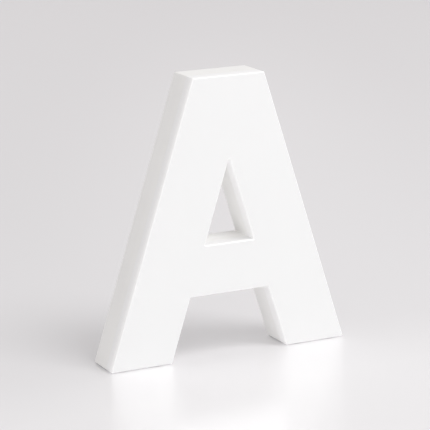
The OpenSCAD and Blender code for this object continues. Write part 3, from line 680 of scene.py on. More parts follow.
def buildReturnShell():
    shell = returnShell
    seam, back = capHigh[1] + shell["seam"], shellHigh[1]
    shoulder, wall = seam + shell["shoulder"], shell["wall"]
    outside, inside, lip = shell["lipOutside"], shell["lipInside"], shell["lipFront"]
    start = (outside / 2, seam)
    profile = softProfile(
        [start, (0, seam), (0, back), (wall, back), (wall, shoulder), (inside, shoulder),
         (inside, lip), (outside, lip), (outside, seam), start],
        [shell["seamRadius"], shell["backRadius"], shell["innerBackRadius"]] + 5 * [shell["lipRadius"]],
        steps=5, hold=0.1)
    form = formOf(*letterWalls(profile))
    panelFront = shell["panelFront"]
    for spot in bossSpots:
        addPost(form, spot, panelFront - shell["bossLength"], panelFront, shell["bossRadius"],
                shell["pilotRadius"], shell["pilotDepth"])
    ribZ, half = apexZ - shell["ribBelowApex"], shell["ribThickness"] / 2
    near, far = halfGapAt(ribZ) + wall, outsideAt(ribZ) - wall
    low, high = ribZ - half, ribZ + half
    ribs = ((near, far, low, high), (-far, -near, low, high), (-half, half, apexZ + wall, topZ - wall / 2))
    for left, right, low, high in ribs:
        addBlock(form, (left, shell["ribFront"], low), (right, panelFront, high))
    finish = mouldedPlastic("whiteShell", shell["colour"])
    # painted light: the opaque white shell gets the same emission ramps, standing in for light through the
    # rim and between the walls, with painted shade in the creases
    paintGlowAndShade(finish)
    makePiece("returnShell", form, finish, "side_shell")


buildReturnShell()
print("return shell made")


# Back: panel, door, screws, pads and switch

backParts = {
    "panelEdge": 0.2,
    "screwEdge": 0.1,
    "knobEdge": 0.2,
    "switchEdge": 0.15,
    "padRadius": 4.0,
    "padEdge": 0.25,
    "panelLook": ((0.80, 0.797, 0.79), 0.5, 1100, 0.00004),
    "doorLook": ((0.81, 0.807, 0.80), 0.5, 1100, 0.00004),
    "knobLook": ((0.018, 0.018, 0.02), 0.42),
    "switchLook": ((0.06, 0.06, 0.065), 0.4),
    "steelLook": ((0.62, 0.62, 0.63), 0.3, (1, 0.2, 1)),
    "foamColour": (0.80, 0.80, 0.795),
    "foamRough": 0.85,
    "poresPerMetre": 2600,
    "poreShades": ((0.05, 0.7), (0.5, 1.0)),
    "poreDepth": 0.0001,
}


# closed-cell foam: open pores over a soft cloudy surface, with painted shade darkening each pore towards
# its middle
def foamFinish():
    part, colour = backParts, np.array(backParts["foamColour"])
    finish, tree, shader = newFinish("footFoam")
    pore = poresOf(tree, objectPlace(tree), part["poresPerMetre"])["Distance"]
    feedAll(tree, shader, {
        "Base Color": rampOf(tree, pore, [(way, colour * shade) for way, shade in part["poreShades"]]),
        "Roughness": part["foamRough"],
        "Normal": bumpOf(tree, pore, part["poreDepth"])})
    return finish


def buildFootPads():
    radius = backParts["padRadius"]
    profile = discEdge(radius, padLow[2], padHigh[2], [backParts["padEdge"]] * 2, steps=3, hold=0.05)
    apart = padHigh[0] - radius - legMiddle
    pads = [revolve(profile, np.array((side * legMiddle + step * apart, depth, 0)), alongZ, sides=40)
            for side in (-1, 1) for step in (-1, 1) for depth in (padLow[1] + radius, padHigh[1] - radius)]
    makePiece("footPads", formOf(*pads), foamFinish(), "foot_pads")


# raised words in the switch's pocket, read from behind
switchWords = {
    "height": 1.65,
    "fontPerHeight": 1.4,
    "raise": 0.2,
    "pocketFloor": 16.3,
    "reach": 6.15,
    "look": ((0.12, 0.12, 0.125), 0.5),
}


def buildSwitchWords(finish):
    words = switchWords
    x, z = middleOf("switch_body")[[0, 2]]
    fromBehind = Matrix(((-1, 0, 0), (0, 0, 1), (0, 1, 0))).to_4x4()
    for word, side in (("ON", -1), ("OFF", 1)):
        curve = bpy.data.curves.new("word" + word, "FONT")
        curve.body = word
        curve.size = words["height"] * words["fontPerHeight"] * mm
        curve.extrude = words["raise"] / 2 * mm
        curve.align_x = "CENTER"
        curve.align_y = "CENTER"
        text = addObject("textOf" + word, curve)
        mesh = bpy.data.meshes.new_from_object(text.evaluated_get(bpy.context.evaluated_depsgraph_get()))
        bpy.data.objects.remove(text)
        bpy.data.curves.remove(curve)
        place = Vector((x, words["pocketFloor"] + words["raise"] / 2, z + side * words["reach"])) * mm
        mesh.transform(Matrix.Translation(place) @ fromBehind)
        finishObject(addObject("word" + word, mesh), finish, "letter_body", None, crease=30)


# the back panel's holes, in X and Z, and what stands on its inside
panelCuts = {
    "inset": 2.6,
    "front": 15.0,
    "flat": 0.08,
    "frontEdge": 0.1,
    "openingRight": 31.95,
    "openingLeft": -32.405,
    "openingHalf": 16.4,
    "slotLeft": -37.55,
    "slotHalf": 10.3,
    "openingCorner": 0.5,
    "scoopRadius": 7.0,
    "scoopDepth": 1.0,
    "headRadius": 2.85,
    "holeRadius": 1.75,
    "headDepth": 1.36,
    "pocketSize": (10.0, 15.0),
    "pocketCorner": 1.0,
    "pocketDepth": 1.2,
    "pocketFloorEdge": 0.2,
    "windowSize": (4.6, 9.6),
    "windowCorner": 0.3,
    "windowEdge": 0.15,
    "keyholeRadius": 4.25,
    "keyholeSlot": 2.25,
    "keyholeRise": 9.0,
    "keyholeApart": 40.0,
    "keyholeDrop": 50.0,
    "postSink": 0.1,
    "postHole": 1.05,
    "pillarRadius": 3.0,
    "pillarFront": -1.8,
    "pillarHeights": (45.0, 161.0, 220.0),
    "pillarInset": 18.0,
    "pillarHoleDepth": 5.5,
    "earRadius": 3.0,
    "earReach": 41.75,
    "earFront": 10.5,
    "earHoleDepth": 3.5,
    "boardFront": 9.9,
    "boardSpot": (58.25, 7.0, 16.0),
    "boardPostRadius": 2.5,
    "boardHoleDepth": 4.0,
    "hingeX": -35.35,
    "hingeHalf": 2.0,
    "hingeFront": 13.3,
    "hingeSpan": (10.3, 14.3),
    "hingeSink": 0.2,
}
pillarSpots = [(side * (outsideAt(footZ + height) - panelCuts["pillarInset"]), footZ + height)
               for side in (-1, 1) for height in panelCuts["pillarHeights"]]


def arcPoints(centre, radius, start, end, steps):
    angle = np.radians(np.linspace(start, end, steps))
    return np.array(centre) + radius * np.column_stack([np.cos(angle), np.sin(angle)])


# a keyhole: most of a large circle, then a narrow slot with a round top
def keyholeLoop(middle):
    cut = panelCuts
    meet = np.degrees(np.arccos(cut["keyholeSlot"] / cut["keyholeRadius"]))
    entry = arcPoints(middle, cut["keyholeRadius"], meet, -180 - meet, steps=41)
    slot = arcPoints(middle + np.array((0, cut["keyholeRise"])), cut["keyholeSlot"], 180, 0, steps=17)
    return np.concatenate([entry, slot])


# the door opening: a wide oblong and a short slot for the hinge; the scoop bulges from its far edge
def openingLoop(scooped):
    cut = panelCuts
    right, left, half = cut["openingRight"], cut["openingLeft"], cut["openingHalf"]
    slot, slotHalf = cut["slotLeft"], cut["slotHalf"]
    corners = np.array([
        [right, half], [right, -half], [left, -half], [left, -slotHalf], [slot, -slotHalf],
        [slot, slotHalf], [left, slotHalf], [left, half]])
    loop = roundedLoop(corners, 0, cut["openingCorner"], steps=4)
    arc = arcPoints((right, 0), cut["scoopRadius"], 90, -90, steps=33)
    if not scooped:
        arc[:, 0] = right
    count = len(loop) // len(corners)
    return np.concatenate([loop[:count], arc, loop[count:]]) + (0, barMiddle)


# posts for the reflector, the cells' box and the board, and the blocks that hold the hinge pins
def addPanelPosts(form):
    cut = panelCuts
    root, hole = cut["front"] + cut["postSink"], cut["postHole"]
    for spot in pillarSpots:
        addPost(form, spot, root, cut["pillarFront"], cut["pillarRadius"], hole, cut["pillarHoleDepth"])
    x, across, up = cut["boardSpot"]
    for side in (-1, 1):
        ear, board = (side * cut["earReach"], barMiddle), (x - side * across, barMiddle + side * up)
        addPost(form, ear, root, cut["earFront"], cut["earRadius"], hole, cut["earHoleDepth"])
        addPost(form, board, root, cut["boardFront"], cut["boardPostRadius"], hole, cut["boardHoleDepth"])
        near, far = sorted(barMiddle + side * np.array(cut["hingeSpan"]))
        addBlock(form, (cut["hingeX"] - cut["hingeHalf"], cut["hingeFront"], near),
                 (cut["hingeX"] + cut["hingeHalf"], cut["front"] + cut["hingeSink"], far))


# every hole's wall runs from the back face to the front one, but the pocket's ends in a floor with a window
def buildPanel(finish):
    cut, edge = panelCuts, backParts["panelEdge"]
    back, front, flat = shellHigh[1], cut["front"], edge + cut["flat"]
    through = plateEdge(back, front, flat, [edge, cut["frontEdge"]], steps=4, hold=0.04)
    walls = letterWalls(through, cut["inset"])
    # the opening's wall steps out to the scoop's floor
    floor = back - cut["scoopDepth"]
    scoop = softProfile([(flat, back), (0, back), (0, floor)], [edge], steps=4, hold=0.04)
    below = np.array([(0, floor), (0, front), (flat, front)])
    walls.append(np.concatenate([
        carryProfile(lambda by: insetLoop(openingLoop(scooped), -by), profile)
        for scooped, profile in ((True, scoop), (False, below))]))
    for side in (-1, 1):
        middle = np.array((side * cut["keyholeApart"] / 2, topZ - cut["keyholeDrop"]))
        walls.append(carryProfile(lambda by: insetLoop(keyholeLoop(middle), -by), through))
    hole = cut["holeRadius"]
    sunk = [(cut["headRadius"], back), (hole, back - cut["headDepth"]), (hole, front)]
    walls += [revolve(sunk, np.array((x, 0, z)), alongY, sides=40) for x, z in bossSpots]
    form = newForm()
    rings = [addGrid(form, wall) for wall in walls]
    middle = middleOf("switch_body")[[0, 2]]
    pocket, window = (rectangle(middle, *cut[name]) for name in ("pocketSize", "windowSize"))
    floor = back - cut["pocketDepth"]
    pocketEdge = softProfile([(flat, back), (0, back), (0, floor), (-2 * flat, floor)],
                             [edge, cut["pocketFloorEdge"]], steps=4, hold=0.04)
    windowEdge = plateEdge(floor, front, flat, [cut["windowEdge"], cut["frontEdge"]], steps=3, hold=0.05)
    pocketIds = addGrid(form, carryProfile(
        lambda by: roundedLoop(pocket, -by, cut["pocketCorner"], steps=5), pocketEdge))
    windowIds = addGrid(form, carryProfile(
        lambda by: roundedLoop(window, -by, cut["windowCorner"], steps=4), windowEdge))
    addFill(form, [pocketIds[-1], windowIds[0]])
    addFill(form, [ring[0] for ring in rings] + [pocketIds[0]])
    addFill(form, [ring[-1] for ring in rings] + [windowIds[-1]])
    addPanelPosts(form)
    makePiece("backPanel", form, finish, "back_panel")


# Battery door: plate, springy ribbed tongue, and a hinge barrel with its pins

batteryDoor = {
    "inside": 15.2,
    "edge": 0.3,
    "innerEdge": 0.15,
    "flat": 0.2,
    "halfWidth": 31.65,
    "halfHeight": 16.1,
    "tabHalf": 10.0,
    "hingeX": -35.35,
    "hingeY": 15.8,
    "barrelRadius": 1.6,
    "pinRadius": 1.0,
    "pinLength": 2.8,
    "barrelEdges": (0.25, 0.05, 0.15, 0.15, 0.05, 0.25),
    "tongueLength": 13.0,
    "tongueHalf": 5.1,
    "tongueSink": 0.3,
    "tongueLow": 0.02,
    "tongueRound": ((0.15, 0.0), (0.072, 0.03), (0.018, 0.12), (0.0, 0.25)),
    "slitEdge": 5.9,
    "hollowDepth": 1.0,
    "hollowStart": 0.8,
    "ribs": 4,
    "ribWidth": 0.8,
    "ribRadius": 0.3,
    "beadRadius": 0.5,
    "beadOut": 0.2,
    "beadShort": 0.4,
    "beadEdge": 0.4,
    "cornerRadius": 0.5,
}


# the tongue's outline seen along Z: ribs stand in its hollow, with a round along every edge
def tongueOutline():
    door = batteryDoor
    back, inside, end = shellHigh[1], door["inside"], door["halfWidth"]
    floor, top = back - door["hollowDepth"], back - door["tongueLow"]
    start = end - door["tongueLength"]
    hollow = start + door["hollowStart"]
    root = start - door["tongueSink"]
    pitch = (end - hollow) / (door["ribs"] + 1)
    half = door["ribWidth"] / 2
    points = [(root, inside), (root, top), (hollow, top), (hollow, floor)]
    for rib in range(1, door["ribs"] + 1):
        x = hollow + rib * pitch
        points += [(x - half, floor), (x - half, back), (x + half, back), (x + half, floor)]
    points += [(end, floor), (end, inside)]
    return roundedLoop(np.array(points), 0, door["ribRadius"], steps=3)


# the tongue's outline is carried across it, from one slit to the other, and shrinks a little at both ends
def addTongue(form):
    door = batteryDoor
    outline = tongueOutline()
    inset, across = np.array(door["tongueRound"]).T
    loops = np.array([insetLoop(outline, by) for by in (*inset, *inset[::-1])])
    z = np.concatenate([across, 2 * door["tongueHalf"] - across[::-1]]) + barMiddle - door["tongueHalf"]
    addWalls(form, np.dstack([loops, np.broadcast_to(z[:, None], loops.shape[:2])]))


def buildDoor(finish):
    door = batteryDoor
    wide, high, tab = door["halfWidth"], door["halfHeight"], door["tabHalf"]
    slit, root, hinge = door["slitEdge"], wide - door["tongueLength"], door["hingeX"]
    corners = np.array([
        [-wide, -high], [-wide, -tab], [hinge, -tab], [hinge, tab], [-wide, tab], [-wide, high],
        [wide, high], [wide, slit], [root, slit], [root, -slit], [wide, -slit], [wide, -high]])
    corners = corners + (0, barMiddle)
    back, inside, edge = shellHigh[1], door["inside"], door["edge"]
    profile = plateEdge(back, inside, edge + door["flat"], [edge, door["innerEdge"]], steps=4, hold=0.05)
    form = walledForm(carryProfile(
        lambda by: roundedLoop(corners, by, door["cornerRadius"], steps=4, least=0.05), profile))
    addTongue(form)
    radius, pin, tip = door["barrelRadius"], door["pinRadius"], tab + door["pinLength"]
    barrel = softProfile(
        [(0, -tip), (pin, -tip), (pin, -tab), (radius, -tab),
         (radius, tab), (pin, tab), (pin, tip), (0, tip)], door["barrelEdges"], steps=4, hold=0.03)
    addGrid(form, revolve(barrel, np.array((hinge, door["hingeY"], barMiddle)), alongZ, sides=36))
    bead, length = door["beadRadius"], door["tongueHalf"] - door["beadShort"]
    centre = np.array((wide - bead + door["beadOut"], inside + bead, barMiddle))
    beadEdge = discEdge(bead, -length, length, [door["beadEdge"]] * 2, steps=5, hold=0.02)
    addGrid(form, revolve(beadEdge, centre, alongZ, sides=20))
    makePiece("batteryDoor", form, finish, "battery_door", "battery_door", crease=40)


def buildBack():
    part = backParts
    steel = drawnMetal("screwSteel", *part["steelLook"])
    knob = mouldedPlastic("knobBlack", *part["knobLook"])
    switch = mouldedPlastic("switchGrey", *part["switchLook"])
    buildPanel(mouldedPlastic("whiteBack", *part["panelLook"]))
    buildDoor(mouldedPlastic("doorWhite", *part["doorLook"]))
    softenNode("panel_screws", "panelScrews", part["screwEdge"], steel)
    softenNode("switch_knob", "switchKnob", part["knobEdge"], knob, "switch_knob")
    softenNode("switch_body", "switchBody", part["switchEdge"], switch)
    buildSwitchWords(mouldedPlastic("wordInk", *switchWords["look"]))
    buildFootPads()
    for node in ("reflector_screws", "battery_box_screws", "control_board_screws"):
        softenNode(node, node + "Soft", part["screwEdge"], steel)


buildBack()
print("back made")


# Cells: two plain round cells in their box, with sheet contacts and conical springs

cells = {
    "radius": 7.25,
    "length": 49.2,
    "nubRadius": 2.75,
    "jacketColour": (0.035, 0.04, 0.045),
    "bandColour": (0.30, 0.34, 0.36),
    "bandLength": 12.0,
    "bandSoft": 0.15,
    "jacketRough": (300, 0.25, 0.36),
    "wrinkles": (90, 2, (0.3, 1, 1)),
    "wrinkleDepth": 0.00004,
    "canLook": ((0.66, 0.66, 0.67), 0.3, (1, 0.3, 0.3), 1800),
    "markLook": ((0.75, 0.75, 0.74), 0.5, 2000, 0.000005),
    "markSize": 4.2,
    "markStroke": 0.9,
    "markSkin": (0.04, -0.05),
    "minusAt": 6.0,
    "boxLook": ((0.80, 0.797, 0.79), 0.5, 1100, 0.00004),
    "boxEdge": 0.2,
    "nickelLook": ((0.67, 0.65, 0.61), 0.26, (1, 0.05, 1)),
    "contactEdge": 0.12,
    "springWire": 0.7,
    "springLength": 7.0,
    "springTurns": 4,
    "pointsPerTurn": 24,
    "springEnds": 1.2,
    "springWide": 4.6,
    "springNarrow": 2.6,
}


# the end of a node that lies first in a direction along X
def startOf(node, towards):
    return boxOf(node)[0 if towards > 0 else 1][0]


# printed jacket: plain dark body with a pale band at the positive end
def jacketFinish(name, bandEdge, towards):
    finish, tree, shader = newFinish(name)
    soft = towards * cells["bandSoft"]
    feedAll(tree, shader, {
        "Base Color": twoTone(tree, bandEdge, soft, cells["jacketColour"], cells["bandColour"]),
        "Roughness": roughOf(tree, *cells["jacketRough"]),
        "Normal": bumpOf(tree, noiseOf(tree, *cells["wrinkles"]), cells["wrinkleDepth"])})
    return finish


# a strip bent round a cell: an arc just outside the jacket and one just inside it, carried along the cell
def addBentStrip(form, centre, towards, along, length, arc):
    angle = arc / cells["radius"] * np.linspace(-0.5, 0.5, 9)
    angle = np.concatenate([angle, angle[::-1]])
    radius = cells["radius"] + np.repeat(cells["markSkin"], 9)
    section = np.stack([0 * angle, radius * np.cos(angle), radius * np.sin(angle)], axis=-1)
    step = towards * (along + length * np.array((-0.5, 0.5)))
    addWalls(form, centre + section + step[:, None, None] * alongX)


def buildCell(name, node, towards, ink, can):
    cell = cells
    centre = middleOf(node)
    centre[0] = startOf(node, towards)
    r, length, nub = cell["radius"], cell["length"], cell["nubRadius"]
    bandEdge = centre[0] + towards * (length - cell["bandLength"])
    # a film with rolled ends, over a can with a flat foot and a nub
    jacket = [
        (r - 1.35, 0), (r - 0.65, 0), (r - 0.2, 0.2), (r, 0.7), (r, 1.2), (r, length / 2),
        (r, length - 1.2), (r, length - 0.7), (r - 0.2, length - 0.2), (r - 0.65, length),
        (r - 1.85, length), (r - 1.85, length - 0.2), (r - 0.75, length - 0.2), (r - 0.25, length - 0.9),
        (r - 0.25, 0.9), (r - 0.75, 0.2), (r - 1.35, 0.2), (r - 1.35, 0)]
    body = [
        (0, 0.1), (4.6, 0.1), (4.85, 0.25), (r - 0.4, 0.3), (r - 0.35, 0.6), (r - 0.35, length - 0.4),
        (r - 1.0, length - 0.25), (nub + 1.3, length - 0.25), (nub + 1.1, length),
        (nub + 0.3, length + 0.05), (nub, length + 0.25), (nub, length + 1.0),
        (nub - 0.3, length + 1.3), (0, length + 1.3)]
    axis = towards * alongX
    film = jacketFinish(name + "Jacket", bandEdge, towards)
    makePiece(name, formOf(revolve(jacket, centre, axis, sides=64)), film, node)
    makePiece(name + "Can", formOf(revolve(body, centre, axis, sides=48)), can)
    marks = newForm()
    size, stroke = cell["markSize"], cell["markStroke"]
    plusAt, minusAt = length - cell["bandLength"] / 2, cell["minusAt"]
    for along, across, arc in ((plusAt, size, stroke), (plusAt, stroke, size), (minusAt, stroke, size)):
        addBentStrip(marks, centre, towards, along, across, arc)
    makePiece(name + "Marks", marks, ink)


# the spring's wire runs from its plate to the cell: straight, a bend, its turns, a bend and straight
def springPath():
    cell = cells
    wire, length, turns = cell["springWire"], cell["springLength"], cell["springTurns"]
    wide, narrow, ends = cell["springWide"], cell["springNarrow"], cell["springEnds"]
    turn = np.linspace(0, turns, cell["pointsPerTurn"] * turns + 1)
    share = turn / turns
    along = ends + (length - 2 * ends) * share
    radius = wide + (narrow - wide) * share
    angle = fullTurn * turn
    coil = np.stack([along, radius * np.cos(angle), radius * np.sin(angle)], axis=-1)
    entry, leave = [[0, wide, 0], [wire, wide, 0]], [[length - wire, narrow, 0], [length, narrow, 0]]
    return np.concatenate([entry, coil[1:-1], leave])


def buildSpring(name, node, cellNode, towards, nickel):
    centre = middleOf(cellNode)
    centre[0] = startOf(node, towards)
    wire = tubeAlong(springPath() * (towards, 1, 1) + centre, cells["springWire"] / 2)
    makePiece(name, walledForm(wire), nickel, node)


def buildCells():
    can = drawnMetal("cellCan", *cells["canLook"])
    nickel = drawnMetal("contactNickel", *cells["nickelLook"])
    ink = mouldedPlastic("markInk", *cells["markLook"])
    for side, towards in (("upper", 1), ("lower", -1)):
        node = "battery_" + side
        buildCell("cell" + side.title(), node, towards, ink, can)
        buildSpring("spring" + side.title(), "spring_" + side, node, towards, nickel)
    for node in ("contact_bridge", "contact_positive", "contact_negative"):
        softenNode(node, node + "Plate", cells["contactEdge"], nickel)
    box = mouldedPlastic("boxWhite", *cells["boxLook"])
    softenNode("battery_box", "batteryBox", cells["boxEdge"], box)


buildCells()
print("cells made")


# Lamps and control: boards, small parts and the leads between them

innerParts = {
    "leadRadius": 0.75,
    "linkRadius": 0.5,
    "redLook": ((0.42, 0.022, 0.02), 0.38, 900, 0.00001, 0.05),
    "blackLook": ((0.016, 0.016, 0.018), 0.38, 900, 0.00001, 0.05),
    "trayLook": ((0.86, 0.86, 0.855), 0.4),
    "trayEdge": 0.2,
    "trayFlat": 0.3,
    "trayHole": 1.25,
    "portSize": 7.0,
    "portRise": 9.5,
    "portCorner": 0.5,
    "sleeveColour": (0.02, 0.022, 0.03),
    "stripeColour": (0.55, 0.55, 0.56),
    "stripeSoft": 0.05,
    "stripeReach": 0.7,
    "sleeveRough": (500, 0.28, 0.38),
    "solderLook": ((0.62, 0.62, 0.63), 0.3, (1, 1, 1), 900),
    "cellX": 33.25,
    "connectorX": 47.75,
    "connectorY": 5.8,
    "cellPlugZ": -11.0,
    "lampPlugZ": 5.0,
    "padX": 37.25,
    "padRise": 3.5,
    "lampY": -4.5,
    "linkFrom": 46.04,
    "linkTo": 54.04,
    "linkRise": 2.5,
    "leadApart": 1.5,
    "leadBead": (1.0, 0.6),
    "linkBead": (0.8, 0.5),
}
cellY, cellZ = middleOf("battery_upper")[1:]


# capacitor sleeve: dark shrink film with one pale stripe down its side
def sleeveFinish(stripeAt):
    part = innerParts
    finish, tree, shader = newFinish("capacitorSleeve")
    tone = twoTone(tree, stripeAt, part["stripeSoft"], part["sleeveColour"], part["stripeColour"])
    feedAll(tree, shader, {"Base Color": tone, "Roughness": roughOf(tree, *part["sleeveRough"])})
    return finish


# can with a rolled groove near its foot, a soft top edge and a shallow dish in its top
def buildCapacitor(solder):
    low, high = boxOf("smoothing_capacitor")
    radius, length = (high[0] - low[0]) / 2, high[1] - low[1]
    centre = middleOf("smoothing_capacitor")
    centre[1] = high[1]
    dish, rim, top = length - 0.1, radius - 0.7, length - 0.04
    sleeve = softProfile(
        [(0, 0), (radius, 0), (radius, 0.9), (radius - 0.35, 1.3), (radius, 1.7), (radius, length),
         (rim, length), (rim, dish), (0, dish)], [0.2, 0.2, 0.2, 0.2, 0.45, 0.03, 0.03], steps=4, hold=0.02)
    film = sleeveFinish(centre[0] + innerParts["stripeReach"] * radius)
    can = formOf(revolve(sleeve, centre, -alongY, sides=40))
    makePiece("smoothingCapacitor", can, film, "smoothing_capacitor")
    disc = discEdge(rim - 0.1, dish, top, [0.01, 0.02], steps=3, hold=0.005)
    makePiece("capacitorTop", formOf(revolve(disc, centre, -alongY)), solder)


# where the leads run: from the cells to the board, and from the board to the lamp strips
def cellLeadPoints(side):
    part = innerParts
    start = np.array((part["cellX"], cellY, barMiddle + side * (cellZ - barMiddle)))
    plugZ = barMiddle + part["cellPlugZ"] + side * part["leadApart"]
    end = np.array((part["connectorX"], part["connectorY"], plugZ))
    middle = ((start[0] + end[0]) / 2, cellY - 5, (start[2] + end[2]) / 2)
    return np.array([start, start + (1.5, 0, 0), start + (3.5, -2.5, -3 if side > 0 else -1), middle,
                     end + (-3.5, -1.5, 1), end + (-1.5, 0, 0), end])


def lampLeadPoints(side):
    part = innerParts
    apart = side * part["leadApart"]
    start = np.array((part["connectorX"], part["connectorY"], barMiddle + part["lampPlugZ"] + apart))
    x, y, z = part["padX"] + apart, part["lampY"], barMiddle + part["padRise"]
    return np.array([start, start + (-1.5, 0, 0), start + (-4, -2, 2), (x, 1.0, z + 6), (x, y + 0.2, z + 6),
                     (x, y - 2.5, z + 4), (x, y - 3, z + 2), (x, y - 1.5, z), (x, y, z)])


def linkPoints(side, up):
    part = innerParts
    start, end = part["linkFrom"], part["linkTo"]
    x = side * np.array((start, start, 0.7 * start + 0.3 * end, 0.3 * start + 0.7 * end, end, end))
    depth = part["lampY"] - np.array((0, 1.2, 2.4, 2.4, 1.2, 0))
    return np.column_stack([x, depth, np.full(6, barMiddle + up)])


# a bead of solder: a low dome that faces the lamps' side
def addSolder(form, spot, radius, height):
    angle = np.linspace(0, np.pi / 2, 7)
    dome = np.column_stack([radius * np.sin(angle), height * np.cos(angle)])
    addGrid(form, revolve(np.concatenate([dome, [(0, 0)]]), np.array(spot), -alongY, sides=20))


def buildLeads(red, black, solder):
    part = innerParts
    beads, links = newForm(), newForm()
    for colour, side, finish in (("red", 1, red), ("black", -1, black)):
        for kind, points in (("battery", cellLeadPoints(side)), ("led", lampLeadPoints(side))):
            lead = walledForm(tubeAlong(smoothPath(points, steps=10), part["leadRadius"], sides=14))
            node = f"{kind}_lead_{colour}"
            makePiece(f"{kind}Lead{colour.title()}", lead, finish, node)
        addSolder(beads, lampLeadPoints(side)[-1], *part["leadBead"])
    for side in (-1, 1):
        for up in (-part["linkRise"], part["linkRise"]):
            points = linkPoints(side, up)
            addWalls(links, tubeAlong(smoothPath(points, steps=8), part["linkRadius"]))
            for end in (0, -1):
                addSolder(beads, points[end], *part["linkBead"])
    makePiece("stripLinks", links, red, "strip_links")
    makePiece("solderBeads", beads, solder)


# Lamp strips: white boards with lamps in pairs, and a resistor between the two lamps of each pair

lampStrips = {
    "pitchLeast": 5.0,
    "rimDepth": 0.01,
    "bodyLength": 3.5,
    "bodyWidth": 2.8,
    "bodyHeight": 1.4,
    "bodyEdge": 0.18,
    "windowDome": (1.1, 0.2),
    "filletDome": (0.6, 0.4),
    "resistorLength": 2.0,
    "resistorWidth": 1.3,
    "resistorHeight": 0.6,
    "resistorCap": 0.45,
    "resistorEdge": 0.06,
    "capEdge": 0.08,
    "capProud": 0.05,
    "bodyLook": ((0.80, 0.79, 0.755), 0.4, 1800, 0.00001),
    "windowLook": ((0.80, 0.58, 0.13), 0.2, 700, 0.00001, 0.06),
    "windowGlow": (0.42, 0.33, 0.16),
    "resistorLook": ((0.018, 0.018, 0.019), 0.35, 2200, 0.00001, 0.08),
    "boardRough": (400, 0.3, 0.42),
    "maskColour": (0.80, 0.80, 0.79),
    "railColour": (0.69, 0.685, 0.66),
    "copperColour": (0.66, 0.40, 0.24),
    "inkColour": (0.05, 0.05, 0.05),
    "rail": (1.9, 4.4),
    "middleTrack": 0.5,
    "padAcross": (2.3, 4.1),
    "padAlong": (0.3, 2.1),
    "cutLine": 0.1,
    "railRise": 0.03,
    "boardEdge": 0.1,
}


# the lamps' middles: a node's foremost points are the rims of its round windows, parted along the strip
def lampSpots(node, along):
    mesh = nodes[node].data
    points = np.empty(3 * len(mesh.vertices), np.float32)
    mesh.vertices.foreach_get("co", points)
    points = points.reshape(-1, 3) / mm
    rims = points[points[:, 1] < points[:, 1].min() + lampStrips["rimDepth"]]
    rims = rims[np.argsort(rims[:, along])]
    parted = np.flatnonzero(np.diff(rims[:, along]) > lampStrips["pitchLeast"]) + 1
    return np.array([(rim.min(axis=0) + rim.max(axis=0)) / 2 for rim in np.split(rims, parted)])[:, [0, 2]]


# white lacquer over two wide rails and a middle track, with copper pads beside the cut lines; X runs across
# the strip and Z along it, from the cut line between its second and third lamps
def stripFinish(name, spots):
    part = lampStrips
    finish, tree, shader = newFinish(name)
    ahead = unit(spots[1] - spots[0])
    middle = (spots[1] + spots[2]) / 2 * mm
    turn = np.arctan2(ahead[0], ahead[1])
    x, _, z = partsOf(tree, patternPlace(tree, (middle[0], 0, middle[1]), (0, turn, 0)))
    aside = mathOf(tree, "ABSOLUTE", x)
    fromCut = mathOf(tree, "PINGPONG", z, np.linalg.norm(spots[1] - spots[0]) * mm)
    rails = bandOf(tree, aside, part["rail"])
    track = belowOf(tree, aside, part["middleTrack"] * mm)
    clear = aboveOf(tree, fromCut, part["padAlong"][0] * mm + softStep)
    raised = mathOf(tree, "MULTIPLY", mathOf(tree, "MAXIMUM", rails, track), clear)
    pads = mathOf(tree, "MULTIPLY", bandOf(tree, aside, part["padAcross"]),
                  bandOf(tree, fromCut, part["padAlong"]))
    tone = mixColours(tree, raised, part["maskColour"], part["railColour"])
    tone = mixColours(tree, pads, tone, part["copperColour"])
    tone = mixColours(tree, belowOf(tree, fromCut, part["cutLine"] * mm), tone, part["inkColour"])
    feedAll(tree, shader, {
        "Base Color": tone,
        "Metallic": pads,
        "Roughness": roughOf(tree, *part["boardRough"]),
        "Normal": bumpOf(tree, raised, part["railRise"] * mm)})
    return finish


# a rectangle of given width across a direction and length along it
def turnedRectangle(middle, ahead, width, length):
    across = np.array((ahead[1], -ahead[0]))
    corners = rectangle((0, 0), width, length)
    return middle + corners[:, :1] * across + corners[:, 1:] * ahead


# lamps and resistors of one strip; the solder that holds the lamps goes to the beads
def addLamps(spots, front, bodies, windows, resistors, caps, beads):
    part = lampStrips
    ahead = unit(spots[1] - spots[0])
    face = front - part["bodyHeight"]
    for spot in spots:
        corners = turnedRectangle(spot, ahead, part["bodyWidth"], part["bodyLength"])
        addSlab(bodies, corners, face, front, part["bodyEdge"])
        addSolder(windows, (spot[0], face, spot[1]), *part["windowDome"])
        for end in (-1, 1):
            foot = spot + end * part["bodyLength"] / 2 * ahead
            addSolder(beads, (foot[0], front, foot[1]), *part["filletDome"])
    width, length, height, cap = (part["resistor" + size] for size in ("Width", "Length", "Height", "Cap"))
    proud = part["capProud"]
    paired = len(spots) // 2 * 2
    for middle in (spots[0:paired:2] + spots[1:paired:2]) / 2:
        block = turnedRectangle(middle, ahead, width - 2 * proud, length - cap)
        addSlab(resistors, block, front - height + proud, front, part["resistorEdge"])
        for end in (-1, 1):
            foot = middle + end * (length - cap) / 2 * ahead
            addSlab(caps, turnedRectangle(foot, ahead, width, cap), front - height, front, part["capEdge"])


